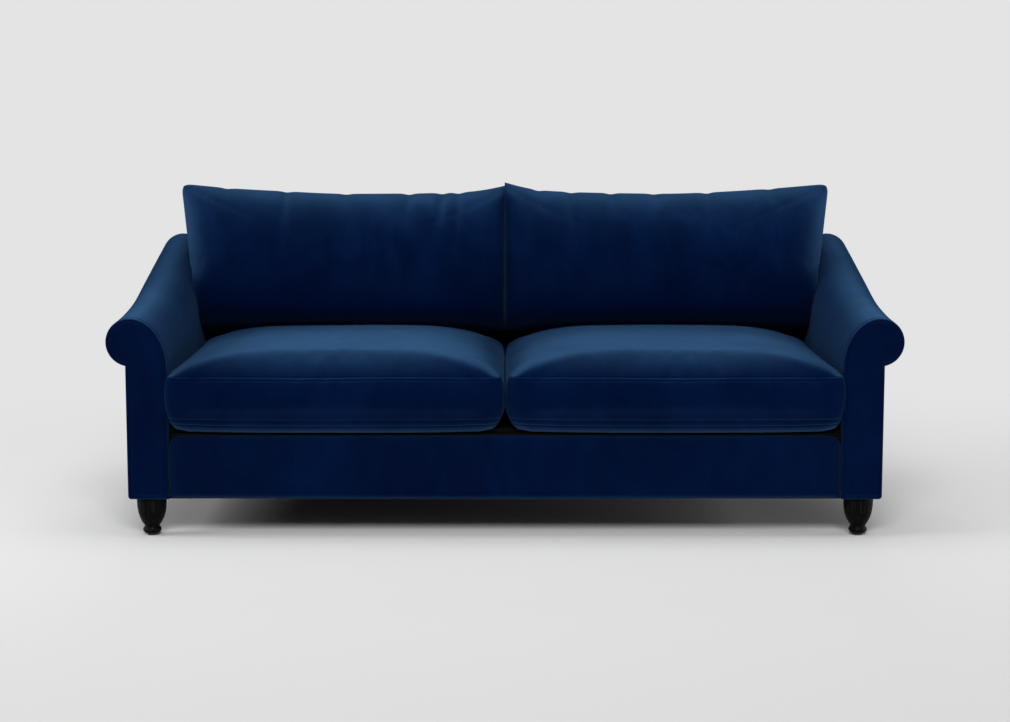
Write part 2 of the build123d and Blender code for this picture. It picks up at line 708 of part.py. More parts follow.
# Legs
def leg(x, y):
    """One turned leg: a bun foot under an urn, bored for its bolt and its glide's nail."""
    foot = GLIDE_THICK
    neck = foot + FOOT_HEIGHT
    urn = [(FOOT_NECK, neck)]
    urn += [(radius, neck + share * (LEG_HEIGHT - neck)) for share, radius in URN]
    profile = make_face(
        [
            Line((0, foot), (FOOT_BASE, foot)),
            ThreePointArc((FOOT_BASE, foot), (FOOT_BULGE, foot + FOOT_HEIGHT / 2), (FOOT_NECK, neck)),
            Spline(*urn),
            Line(urn[-1], (0, LEG_HEIGHT)),
            Line((0, LEG_HEIGHT), (0, foot)),
        ]
    )
    turned = Pos(x, y, 0) * revolve(Plane.XZ * profile, Axis.Z)
    turned -= rod((x, y, foot), (x, y, foot + GLIDE_NAIL_LENGTH), GLIDE_NAIL + BOLT_FIT)
    return turned - rod((x, y, LEG_HEIGHT - LEG_BOLT_DEPTH), (x, y, LEG_HEIGHT), BOLT_RADIUS + BOLT_FIT)


def leg_nut(x, y):
    """A flanged nut driven into the base board from above."""
    nut = rod((x, y, FRAME_Z), (x, y, BOARD_TOP), NUT_BARREL)
    nut += rod((x, y, BOARD_TOP), (x, y, BOARD_TOP + NUT_FLANGE_THICK), NUT_FLANGE)
    return nut - rod((x, y, FRAME_Z), (x, y, BOARD_TOP + NUT_FLANGE_THICK), BOLT_RADIUS + BOLT_FIT)


def foot_glide(x, y):
    """A nylon disc nailed under a leg."""
    disc = rod((x, y, 0), (x, y, GLIDE_THICK), GLIDE_RADIUS)
    return disc + rod((x, y, GLIDE_THICK), (x, y, GLIDE_THICK + GLIDE_NAIL_LENGTH), GLIDE_NAIL)


def group(solids):
    """Identical small pieces kept together as one sub-part."""
    return Compound(children=[piece for solid in solids for piece in solid.solids()])


def all_parts():
    """Every sub-part of the sofa by name."""
    cavity = arm_cavity()
    top_rail = arm_top_rail(cavity)
    board = arm_board()
    seat_chain, seat_slider = seat_zip()
    back_chain, back_slider = back_zip()
    seat_core = seat_form(COVER)
    back_fill = back_form(COVER)
    spring = zigzag_spring()
    parts = {
        "front_rail": cross_rail(FRONT_RAIL_Y, FRONT_RAIL_REAR),
        "rear_rail": cross_rail(REAR_RAIL_Y, REAR_RAIL_REAR),
        "center_rail": center_rail(),
        "corner_blocks": group([corner_block(*corner) for corner in CORNERS]),
        "corner_screws": group(headed(corner_screws(), SCREW_HEAD_RADIUS, SCREW_HEAD)),
        "base_screws": group(headed(base_screws(), SCREW_HEAD_RADIUS, SCREW_HEAD)),
        "arm_top_rails": group([top_rail, mirrored(top_rail)]),
        "arm_boards": group([board, mirrored(board)]),
        "back_tack_rail": back_rail(0),
        "back_top_rail": back_rail(BACK_TIMBER_TOP - BACK_RAIL_HEIGHT),
        "back_middle_post": back_middle_post(),
        "back_bolts": group(headed(back_bolts(), BOLT_HEAD_RADIUS, BOLT_HEAD)),
        "back_webbing": group(back_webbing()),
        "seat_springs": group([Pos(x, 0, 0) * spring for x in SPRING_XS]),
        "spring_clips": group([spring_clip(*spot) for spot in clip_spots()]),
        "clip_screws": group(headed(clip_screws(), 2 * CLIP_SCREW_RADIUS, CLIP_PLATE)),
        "spring_tie_wires": group(tie_wires()),
        "front_border": front_border(),
        "back_inside_pad": back_inside_pad(),
        "back_outside_panel": back_outside_panel(),
        "seat_deck": seat_deck(),
        "dust_cover": dust_cover(),
        "leg_bolts": group([rod(s, Vector(*s) + Vector(*w) * n, r) for s, w, n, r in leg_bolts()]),
        "leg_nuts": group([leg_nut(*spot) for spot in LEG_SPOTS]),
        "foot_glides": group([foot_glide(*spot) for spot in LEG_SPOTS]),
    }
    paired = {
        "side_rail": side_rail(),
        "base_board": base_board(),
        "arm_front_post": arm_front_post(cavity),
        "back_post": back_post(),
        "arm_facing": arm_facing(),
        "arm_pad": arm_pad(),
        "arm_outside": arm_outside(),
        "seat_cushion": seat_form(0) - seat_core,
        "seat_core": seat_core,
        "back_cushion": back_form(0) - back_fill,
        "back_fill": back_fill,
        "seat_zip": seat_chain,
        "seat_zip_slider": seat_slider,
        "back_zip": back_chain,
        "back_zip_slider": back_slider,
    }
    for name, shape in paired.items():
        parts[f"{name}_right"] = shape
        parts[f"{name}_left"] = mirrored(shape)
    names = ("leg_front_left", "leg_front_right", "leg_rear_left", "leg_rear_right")
    for name, spot in zip(names, LEG_SPOTS):
        parts[name] = leg(*spot)
    return parts


os.makedirs("parts", exist_ok=True)
for name, shape in all_parts().items():
    export_step(shape, f"parts/{name}.step")
    print(name, len(shape.solids()), round(shape.volume / 1000), "cm3")
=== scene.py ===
# %% [markdown]
# # A scroll-arm velvet sofa
#
# This lesson dresses a finished joinery model of a sofa. The timber, springs, screws and plain cushion
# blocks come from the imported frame. Everything that the eye lands on, the velvet, the seams, the
# swollen cushions and the turned legs, is made here, in metres and in the same place as the frame.

# %% Load the frame
import json
import math

import bmesh
import bpy
from mathutils import Matrix, Vector, noise
from mathutils.bvhtree import BVHTree


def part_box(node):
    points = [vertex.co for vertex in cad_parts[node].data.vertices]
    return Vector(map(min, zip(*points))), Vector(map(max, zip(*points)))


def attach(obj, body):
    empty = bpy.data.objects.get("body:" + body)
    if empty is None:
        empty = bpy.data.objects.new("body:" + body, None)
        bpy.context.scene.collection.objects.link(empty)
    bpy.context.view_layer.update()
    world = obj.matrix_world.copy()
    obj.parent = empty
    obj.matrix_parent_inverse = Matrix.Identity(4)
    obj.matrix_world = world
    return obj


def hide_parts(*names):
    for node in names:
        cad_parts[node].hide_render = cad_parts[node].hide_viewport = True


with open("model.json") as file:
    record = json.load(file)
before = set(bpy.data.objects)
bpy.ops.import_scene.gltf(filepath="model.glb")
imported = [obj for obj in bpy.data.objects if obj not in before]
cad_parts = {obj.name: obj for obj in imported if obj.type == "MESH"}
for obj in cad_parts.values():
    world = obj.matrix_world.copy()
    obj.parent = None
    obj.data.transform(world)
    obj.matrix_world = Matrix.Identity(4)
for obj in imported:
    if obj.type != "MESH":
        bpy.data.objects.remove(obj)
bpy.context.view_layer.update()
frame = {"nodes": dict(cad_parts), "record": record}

SIDES = (("left", -1), ("right", 1))
scene = bpy.context.scene

# %% [markdown]
# ## Measures
#
# The frame already knows how big each padded block is, so most measures are read from its boxes, here
# or where they are first needed. The arm's scroll is the one shape that a box can't give: its radius,
# its rise towards the back and the ellipse on the inside of the arm are written here once, as the
# upholsterer's template would be. The back leans by its rake, so its points are given by a depth and a
# height along that slope.

# %% Read the measures
facing_low, facing_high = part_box("arm_facing_right")
outside_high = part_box("arm_outside_right")[1]
rear_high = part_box("back_outside_panel")[1]

RAKE = math.radians(8)
ROLL_RADIUS = 0.061
ROLL_X = facing_high[0] - ROLL_RADIUS
ROLL_Z = facing_high[2] - ROLL_RADIUS
ROLL_RISE = 0.151
ROLL_SHARES = (0.0, 0.06, 0.20, 0.465, 0.735, 1.0)
ARM_OUTER_X = outside_high[0]
ARM_INNER_X = facing_low[0]
ARM_DROP = 0.069
BASE_Z = facing_low[2]
FACING_Y = facing_low[1]
FACING_REAR_Y = facing_high[1]
REAR_Y = rear_high[1]
BACK_THICK = 0.145
BACK_TOP = 0.430
OUTSIDE_PAD = 0.012
BACK_Y = REAR_Y - BACK_THICK * math.cos(RAKE) - BACK_TOP * math.sin(RAKE)
BACK_Z = rear_high[2] + BACK_THICK * math.sin(RAKE) - BACK_TOP * math.cos(RAKE)
print("roll centre", round(ROLL_X, 3), round(ROLL_Z, 3))
print("foot of the inside back", round(BACK_Y, 4), round(BACK_Z, 4))


def on_rake(x, v, u):
    """A point of the back, from its depth behind the inside surface and its height along the rake."""
    return Vector((
        x,
        BACK_Y + v * math.cos(RAKE) + u * math.sin(RAKE),
        BACK_Z - v * math.sin(RAKE) + u * math.cos(RAKE),
    ))


RAKE_OUT = on_rake(0, 1, 0) - on_rake(0, 0, 0)


def height_on_rake(v, z):
    """Height along the rake of the point at depth v that is z above the floor."""
    return (z - BACK_Z + v * math.sin(RAKE)) / math.cos(RAKE)


def roll_height(y):
    """Height of the scroll's centre: a smooth curve through the template's stations."""
    last = len(ROLL_SHARES) - 1
    place = min(max((y - FACING_Y) / (REAR_Y - FACING_Y), 0), 1) * last
    i = min(int(place), last - 1)
    t = place - i
    p0, p1, p2, p3 = (ROLL_SHARES[min(max(k, 0), last)] for k in (i - 1, i, i + 1, i + 2))
    m1 = (p2 - p0) / 2
    m2 = (p3 - p1) / 2 if i + 2 <= last else p2 - p1
    share = (
        (2 * t**3 - 3 * t**2 + 1) * p1
        + (t**3 - 2 * t**2 + t) * m1
        + (3 * t**2 - 2 * t**3) * p2
        + (t**3 - t**2) * m2
    )
    return ROLL_Z + ROLL_RISE * share


# %% [markdown]
# ## Shader sums
#
# Node trees are easier to read as sums. `Number` wraps a socket so that `1 - mask * 0.4` adds the Math
# nodes by itself. `Nodes` adds any other node to a tree from its type, its settings and its inputs, and
# `Finish` is one material whose patterns follow the object's own coordinates.

# %% Shader helpers
X, Y, Z = 0, 1, 2


class Number:
    """A number socket that takes part in Python sums."""

    def __init__(self, nodes, socket):
        self.nodes = nodes
        self.socket = socket

    def math(self, operation, other, swapped=False):
        pair = (other, self) if swapped else (self, other)
        return self.nodes.number("ShaderNodeMath", {"operation": operation}, {0: pair[0], 1: pair[1]})

    def __add__(self, other):
        return self.math("ADD", other)

    def __sub__(self, other):
        return self.math("SUBTRACT", other)

    def __rsub__(self, other):
        return self.math("SUBTRACT", other, swapped=True)

    def __mul__(self, other):
        return self.math("MULTIPLY", other)

    def __pow__(self, other):
        return self.math("POWER", other)

    __radd__ = __add__
    __rmul__ = __mul__


class Nodes:
    """A node tree with a short way to add nodes."""

    def __init__(self, tree):
        self.tree = tree

    def add(self, kind, settings=None, inputs=None):
        node = self.tree.nodes.new(kind)
        for key, value in (settings or {}).items():
            setattr(node, key, value)
        for key, value in (inputs or {}).items():
            self.put(node.inputs[key], value)
        return node

    def put(self, socket, value):
        if isinstance(value, Number):
            value = value.socket
        if isinstance(value, bpy.types.NodeSocket):
            self.tree.links.new(value, socket)
        else:
            socket.default_value = value

    def number(self, kind, settings=None, inputs=None, output=0):
        return Number(self, self.add(kind, settings, inputs).outputs[output])

    def ramp(self, value, low, high):
        """0 below low, 1 above high, smooth between."""
        inputs = {"Value": value, "From Min": low, "From Max": high}
        return self.number("ShaderNodeMapRange", {"interpolation_type": "SMOOTHSTEP"}, inputs)

    def mix(self, factor, first, second):
        inputs = {"Factor": factor, 6: first, 7: second}
        return self.add("ShaderNodeMix", {"data_type": "RGBA"}, inputs).outputs[2]

    def bump(self, height, strength, distance):
        inputs = {"Height": height, "Strength": strength, "Distance": distance}
        return self.add("ShaderNodeBump", inputs=inputs).outputs[0]


class Finish(Nodes):
    """One material with its Principled shader."""

    def __init__(self, name):
        self.material = bpy.data.materials.new(name)
        self.material.use_nodes = True
        super().__init__(self.material.node_tree)
        self.shader = self.tree.nodes["Principled BSDF"]
        self.place = self.add("ShaderNodeTexCoord").outputs["Object"]

    def noise(self, scale, detail=2.0, roughness=0.5, distortion=0.0, stretch=(1, 1, 1)):
        place = self.add("ShaderNodeMapping", inputs={"Vector": self.place, "Scale": stretch}).outputs[0]
        values = {"Vector": place, "Scale": scale, "Detail": detail, "Roughness": roughness}
        values["Distortion"] = distortion
        return self.number("ShaderNodeTexNoise", inputs=values)

    def set(self, **sockets):
        for key, value in sockets.items():
            self.put(self.shader.inputs[key.replace("_", " ")], value)
        return self.material


def rgb(red, green, blue):
    """A colour socket's value."""
    return (red, green, blue, 1.0)


def grey(tone):
    return rgb(tone, tone, tone)


print("shader helpers: Number, Nodes and Finish")

# %% [markdown]
# ## Velvet
#
# Velvet is a short dense pile. Seen end on it swallows light and looks almost black, and at a glancing view
# it turns a lighter blue. Sheen alone is too even for that, so the base colour carries painted light: faces
# that look up, down or to the side are painted a lighter blue, and the fronts stay dark. On the cushions
# and arms the base colour is also darkened with depth or height, as painted shade. Soft clouds and streaks
# stand for the marks that hands leave, a little sheen lights the edges, and a very fine noise roughens the
# surface so that no highlight is clean.

# %% Velvet finish
NAVY_DEEP = rgb(0.0004, 0.0026, 0.017)
NAVY_BRIGHT = rgb(0.0008, 0.0060, 0.032)
# Painted light: the lighter blue painted on faces that look up, down or sideways, where sheen and top light
# would fall.
NAVY_PAINTED_LIGHT = rgb(0.0225, 0.066, 0.147)
# Painted sheen: a lighter navy for the back cushions that stands in for the sheen taken off them; low down
# it is darkened by the painted shade.
NAVY_PILLOW_PAINTED_SHEEN = rgb(0.0014, 0.0105, 0.050)
SHEEN_BLUE = rgb(0.19, 0.50, 1.0)


def velvet(name, rise, fall, sheen, power=4.0, outward=0.0, inward=0.0, painted_shade_fade=None, bright=NAVY_BRIGHT):
    """Navy velvet.

    Rise, fall, outward and inward say how much painted light, a lighter blue, goes on faces that look up,
    down, away from the middle of the sofa or towards it, and a higher power keeps the first to the most
    level faces. The fade is painted shade: an axis, where it starts, where it ends and what is left there.
    """
    finish = Finish(name)
    clouds = finish.noise(3.4, detail=3.0, roughness=0.55, distortion=0.6)
    strokes = finish.noise(9.0, detail=5.0, roughness=0.62, distortion=1.4, stretch=(1.0, 1.0, 0.45))
    pile = finish.noise(520.0, detail=2.0)
    brushed = finish.ramp(clouds * 0.55 + strokes * 0.45, 0.34, 0.68)
    # Painted shade: along the fade's axis the colour is darkened, down to what is left at its end.
    kept = 1.0
    if painted_shade_fade:
        axis, start, stop, least = painted_shade_fade
        along = finish.number("ShaderNodeSeparateXYZ", inputs={0: finish.place}, output=axis)
        faded = finish.ramp(along, min(start, stop), max(start, stop))
        faded = faded if stop > start else 1 - faded
        kept = 1 - faded * (1 - least)
    # The random marks of hands, darkened by the painted shade.
    marks_and_painted_shade = finish.mix((brushed * 0.75 + pile * 0.25) * kept, NAVY_DEEP, bright)
    # Painted light: faces that look up, down, away from the middle or towards it get a share of the lighter
    # blue.
    normal = finish.add("ShaderNodeNewGeometry").outputs["Normal"]
    level = finish.number("ShaderNodeSeparateXYZ", inputs={0: normal}, output=Z)
    across = finish.number("ShaderNodeSeparateXYZ", inputs={0: normal}, output=X)
    end = finish.number("ShaderNodeSeparateXYZ", inputs={0: finish.place}, output=X).math("SIGN", 0.0)
    away = (across * end).math("MAXIMUM", 0.0) ** 2.0
    towards = (0 - across * end).math("MAXIMUM", 0.0) ** 2.0
    upward = level.math("MAXIMUM", 0.0) ** power
    downward = (0 - level).math("MAXIMUM", 0.0) ** 3.0
    painted_light_share = upward * rise + downward * fall + away * outward + towards * inward
    # The painted light, varied a little by the marks and darkened by the painted shade.
    lean = painted_light_share * (0.85 + brushed * 0.25) * kept
    finish.set(
        Base_Color=finish.mix(lean, marks_and_painted_shade, NAVY_PAINTED_LIGHT),
        Roughness=0.86 - brushed * 0.10,
        Specular_IOR_Level=0.0,
        Sheen_Weight=sheen,
        Sheen_Roughness=0.45,
        Sheen_Tint=SHEEN_BLUE,
        Normal=finish.bump(pile + strokes * 0.6, 0.35, 0.0012),
    )
    return finish.material


# One cloth in five copies, each with its own painted light and painted shade.
navy_velvet = velvet("navy_velvet", rise=1.0, fall=0.75, sheen=0.11)
# Seat: painted shade towards the back, where the back cushions shade it.
seat_velvet = velvet(
    "navy_velvet_seat", rise=0.95, fall=1.5, sheen=0.09, power=5.8, painted_shade_fade=(Y, -0.26, 0.09, 0.40),
)
# Back cushions: painted sheen on their outer sides, and painted shade low down, near the seat.
pillow_velvet = velvet(
    "navy_velvet_back", rise=0.56, fall=0.0, sheen=0.08, power=2.6, outward=0.75,
    painted_shade_fade=(Z, 0.80, 0.47, 0.12), bright=NAVY_PILLOW_PAINTED_SHEEN,
)
# Arms: painted shade towards the back.
arm_velvet = velvet(
    "navy_velvet_arm", rise=1.0, fall=0.1, sheen=0.06, inward=0.10, painted_shade_fade=(Y, -0.40, 0.30, 0.5),
)
# Border: almost no painted light on its top, which lies in the cushions' shadow.
border_velvet = velvet("navy_velvet_border", rise=0.05, fall=0.35, sheen=0.14)
velvets = (navy_velvet, seat_velvet, pillow_velvet, arm_velvet, border_velvet)
print("velvets:", ", ".join(velvet_material.name for velvet_material in velvets))

# %% [markdown]
# ## Wood and steel
#
# The legs are black-stained open-grain wood: fine pores run along the grain, which is upright, so the
# noise is stretched that way. What the velvet hides still has to look right when a cushion is lifted
# out or the sofa is tipped over, so the raw timber of the frame, the drawn steel of the springs and the
# zips each get a grain of their own scale.

# %% Wood and steel
def stained_wood(name):
    finish = Finish(name)
    grain = finish.noise(70.0, detail=6.0, roughness=0.7, distortion=0.5, stretch=(1, 1, 0.07))
    pores = finish.ramp(finish.noise(260.0, detail=2.0, stretch=(1, 1, 0.035)), 0.53, 0.63)
    colour = finish.mix(finish.ramp(grain, 0.35, 0.7), grey(0.0004), rgb(0.0014, 0.0013, 0.0012))
    colour = finish.mix(pores * 0.7, colour, rgb(0.008, 0.0075, 0.007))
    return finish.set(
        Base_Color=colour,
        Roughness=0.40 + pores * 0.3,
        Specular_IOR_Level=0.05,
        Normal=finish.bump(grain * 0.6 - pores, 0.45, 0.0008),
    )


def raw_timber(name):
    finish = Finish(name)
    rings = finish.noise(16.0, detail=4.0, distortion=0.8, stretch=(0.12, 0.6, 1.6))
    fibre = finish.noise(180.0, detail=3.0, stretch=(0.06, 0.5, 1.0))
    colour = finish.mix(finish.ramp(rings, 0.3, 0.72), rgb(0.50, 0.33, 0.18), rgb(0.70, 0.53, 0.34))
    return finish.set(
        Base_Color=colour,
        Roughness=0.62 + fibre * 0.2,
        Normal=finish.bump(fibre, 0.25, 0.0006),
    )


def spring_steel(name, tone):
    finish = Finish(name)
    drawn = finish.noise(240.0, detail=3.0, stretch=(0.2, 1, 1))
    dull = rgb(tone * 0.75, tone * 0.76, tone * 0.8)
    colour = finish.mix(finish.ramp(drawn, 0.3, 0.8), dull, grey(tone))
    return finish.set(Base_Color=colour, Metallic=1.0, Roughness=0.28 + drawn * 0.2)


leg_wood = stained_wood("black_stained_wood")
frame_timber = raw_timber("frame_timber")
steel = spring_steel("spring_steel", 0.55)
zip_metal = spring_steel("zip_metal", 0.30)
print("hard finishes:", leg_wood.name, frame_timber.name, steel.name, zip_metal.name)

# %% [markdown]
# ## Lining, stuffing and nylon
#
# The black lining and the zip tapes are plain weaves. A weave could follow a UV map, but these strips
# face every way, so waves along all three axes cross instead and give threads on any face. Foam and
# nylon need only a fine even grain.

# %% Cloth, foam and nylon
WAVE_SCALE = 0.3142


def woven(name, dark, light, pitch):
    """A plain weave: crossing threads as a bump and a slight change of tone."""
    finish = Finish(name)
    waves = []
    for direction in ("X", "Y", "Z"):
        inputs = {"Vector": finish.place, "Scale": WAVE_SCALE / pitch, "Distortion": 0.0}
        waves.append(finish.number("ShaderNodeTexWave", {"bands_direction": direction}, inputs, output=1))
    cloth = waves[0] * waves[1] + waves[1] * waves[2] + waves[2] * waves[0]
    fuzz = finish.noise(700.0, detail=2.0)
    colour = finish.mix(cloth * 0.25 + fuzz * 0.5, dark, light)
    threads = finish.bump(cloth * 0.4 + fuzz, 0.3, 0.0006)
    return finish.set(Base_Color=colour, Roughness=0.9, Specular_IOR_Level=0.04, Normal=threads)


def foam(name, tone):
    finish = Finish(name)
    cells = finish.noise(420.0, detail=3.0)
    colour = finish.mix(cells, tuple(0.8 * c for c in tone[:3]) + (1.0,), tone)
    return finish.set(Base_Color=colour, Roughness=0.95, Normal=finish.bump(cells, 0.5, 0.001))


def nylon(name):
    finish = Finish(name)
    grain = finish.noise(600.0, detail=2.0)
    colour = finish.mix(grain, grey(0.012), grey(0.03))
    return finish.set(Base_Color=colour, Roughness=0.45 + grain * 0.2)


lining = woven("black_lining", rgb(0.0012, 0.0012, 0.0014), rgb(0.0045, 0.0045, 0.005), 0.0012)
zip_tape = woven("navy_zip_tape", rgb(0.002, 0.005, 0.018), rgb(0.006, 0.014, 0.045), 0.0015)
stuffing = foam("cream_stuffing", rgb(0.82, 0.79, 0.70))
glide_nylon = nylon("glide_nylon")
print("soft finishes:", lining.name, zip_tape.name, stuffing.name, glide_nylon.name)

# %% [markdown]
# ## Finishes for the frame's own pieces
#
# Each piece of the frame names a material slot in its record. The frame's meshes are right as they are,
# so they keep their shape and only take the finish that goes with their slot.

# %% Dress the frame
NODE_FINISHES = {
    "velvet": navy_velvet,
    "frame_timber": frame_timber,
    "leg_wood": leg_wood,
    "steel": steel,
    "filling": stuffing,
    "lining_cloth": lining,
    "glide_nylon": glide_nylon,
    "zip_tape": zip_tape,
    "zip_metal": zip_metal,
}
for part in frame["record"]["subparts"]:
    node = frame["nodes"][part["node"]]
    node.data.materials.clear()
    node.data.materials.append(NODE_FINISHES[part["material_slot"]])

# %% [markdown]
# ## Small modelling tools
#
# Upholstery is mostly a flat grid that is pulled into shape. `grid` makes one between two corners of
# its own flat space, and `grid_box` makes the six-sided kind by cutting a cube along each axis in
# turn. The other helpers are the small curves that round an outline, a corner or an edge.

# %% Grids and curves
def grid(across, along):
    """A flat grid from (0, 0) to (1, 1)."""
    mesh = bmesh.new()
    bmesh.ops.create_grid(mesh, x_segments=across, y_segments=along, size=0.5)
    bmesh.ops.translate(mesh, verts=mesh.verts, vec=(0.5, 0.5, 0))
    return mesh


def grid_box(cells):
    """A cube from -1 to 1 whose faces are cut into cells along X, Y and Z."""
    mesh = bmesh.new()
    bmesh.ops.create_cube(mesh, size=2)
    for axis, count in enumerate(cells):
        others = [k for k in range(3) if k != axis]
        edges = [
            e for e in mesh.edges
            if all(abs(e.verts[0].co[k] - e.verts[1].co[k]) < 1e-6 for k in others)
        ]
        bmesh.ops.subdivide_edges(mesh, edges=edges, cuts=count - 1, use_grid_fill=True)
    return mesh


def rounded_outline(x, y, half_x, half_y, radius):
    """Where a point of a rectangle's edge goes when its corners are rounded."""
    core_x, core_y = half_x - radius, half_y - radius
    if abs(x) <= core_x or abs(y) <= core_y:
        return x, y
    centre = Vector((math.copysign(core_x, x), math.copysign(core_y, y)))
    out = (Vector((x, y)) - centre).normalized() * radius
    return centre.x + out.x, centre.y + out.y


def smooth_least(a, b, blend):
    """The smaller of two distances, with the crease between them softened."""
    h = min(max(0.5 + (b - a) / (2 * blend), 0), 1)
    return b + (a - b) * h - blend * h * (1 - h)


def quarter(run):
    """Height of a quarter circle that starts upright at 0 and is level at 1."""
    return math.sqrt(max(0.0, 1 - (1 - min(max(run, 0.0), 1.0)) ** 2))


def ease(value, low, high):
    """0 below low, 1 above high, smooth between."""
    t = min(max((value - low) / (high - low), 0), 1)
    return t * t * (3 - 2 * t)


sample = grid_box((2, 3, 4))
print("a grid box of 2 by 3 by 4 cells has", len(sample.faces), "faces")
sample.free()

# %% [markdown]
# ## From mesh to piece
#
# `place` turns a bmesh into an object with its finish, its body and the frame piece it covers. The sofa
# is the same at both ends, so most pieces are made for the right and `mirrored` for the left. A cushion
# also has its stuffing, which is its own cover drawn in towards the middle.

# %% Place, mirror and stuff
def turn_out(mesh):
    """Merge doubles and point every face outwards."""
    bmesh.ops.remove_doubles(mesh, verts=mesh.verts, dist=1e-5)
    bmesh.ops.recalc_face_normals(mesh, faces=mesh.faces)


def place(mesh, name, finish, body, slot, replaced=(), subdivide=0):
    """Make an object of a bmesh, smooth it and tie it to the frame."""
    data = bpy.data.meshes.new(name)
    mesh.to_mesh(data)
    mesh.free()
    data.polygons.foreach_set("use_smooth", [True] * len(data.polygons))
    data.materials.append(finish)
    piece = bpy.data.objects.new(name, data)
    scene.collection.objects.link(piece)
    if subdivide:
        finer = piece.modifiers.new("finer", "SUBSURF")
        finer.levels = finer.render_levels = subdivide
    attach(piece, body)
    if replaced:
        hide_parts(*replaced)
    print(name, len(data.polygons), "faces")
    return piece


def mirrored(mesh):
    """A copy of a bmesh for the other end of the sofa."""
    twin = mesh.copy()
    bmesh.ops.scale(twin, vec=(-1, 1, 1), verts=twin.verts)
    bmesh.ops.reverse_faces(twin, faces=twin.faces)
    return twin


def stuffing_in(mesh, name, share, body, replaced):
    """The filling of a cushion: its cover drawn in towards the middle."""
    core = mesh.copy()
    middle = sum((v.co for v in core.verts), Vector()) / len(core.verts)
    for vert in core.verts:
        vert.co = middle + (vert.co - middle) * share
    piece = place(core, name, stuffing, body, "filling", (replaced,))


# %% [markdown]
# ## Swelling
#
# A stuffed cushion is a closed bag under pressure. Blender's cloth simulation can blow a bag up from any
# shape, but it takes long and rounds everything, so here each cushion is shaped first and the simulation
# only eases its cloth: no point moves further than a few millimetres.

# %% Cloth under pressure
CLOTH_QUALITY = 5
CLOTH_MASS = 0.3
CLOTH_AIR = 6
SHEAR_SHARE = 0.4


def swell(mesh, name, pressure, frames, stiffness, bending, cap, keep=(1, 1, 1)):
    """Blow a closed mesh up with a cloth simulation and move its points, none further than cap."""
    data = bpy.data.meshes.new(name + "_cloth")
    mesh.to_mesh(data)
    cloth = bpy.data.objects.new(name + "_cloth", data)
    scene.collection.objects.link(cloth)
    modifier = cloth.modifiers.new("cloth", "CLOTH")
    settings = modifier.settings
    settings.quality = CLOTH_QUALITY
    settings.mass = CLOTH_MASS
    settings.tension_stiffness = settings.compression_stiffness = stiffness
    settings.shear_stiffness = stiffness * SHEAR_SHARE
    settings.bending_stiffness = bending
    settings.air_damping = CLOTH_AIR
    settings.use_pressure = True
    settings.uniform_pressure_force = pressure
    settings.effector_weights.gravity = 0
    modifier.collision_settings.use_collision = False
    modifier.point_cache.frame_start = 1
    modifier.point_cache.frame_end = frames
    for step in range(1, frames + 1):
        scene.frame_set(step)
    swollen = cloth.evaluated_get(bpy.context.evaluated_depsgraph_get())
    moved = [v.co.copy() for v in swollen.data.vertices]
    furthest = 0.0
    for vert, target in zip(mesh.verts, moved):
        step = (target - vert.co) * Vector(keep)
        furthest = max(furthest, step.length)
        vert.co += step * min(1.0, cap / max(step.length, 1e-9))
    bpy.data.objects.remove(cloth)
    bpy.data.meshes.remove(data)
    scene.frame_set(1)
    print(name, "swells by", round(furthest, 4), "and is kept to", cap)


# %% [markdown]
# ## Seat cushions
#
# Each seat cushion is a box cushion: a top and a bottom panel joined by an upright strip called the
# boxing, with a felled seam along both edges. Feathers over foam make the top swell into a crown that
# rises steeply from the seam and runs to the corners in a hip, like a roof. A cube cut into cells gives
# the three panels at once, so each point is moved by the panel it lies on.

# %% Shape of a seat cushion
seat_low, seat_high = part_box("seat_cushion_right")
CELL = 0.010
BOXING_LOW = 0.294
BOXING_HIGH = 0.4095
CROWN = 0.054
DOME = 0.014
CROWN_RUN = (0.240, 0.090)
BELLY = BOXING_LOW - seat_low[2]
BELLY_RUN = 0.018
HIP_BLEND = 0.25
BELLY_BLEND = 0.008
SEAT_OUTER_X = 0.8610
TOP_TUCK = 0.006
BOTTOM_TUCK = 0.011
TOP_CORNER = 0.026
BOTTOM_CORNER = 0.036
TUCK_POWER = 2.2
INNER_PRESS = 0.003


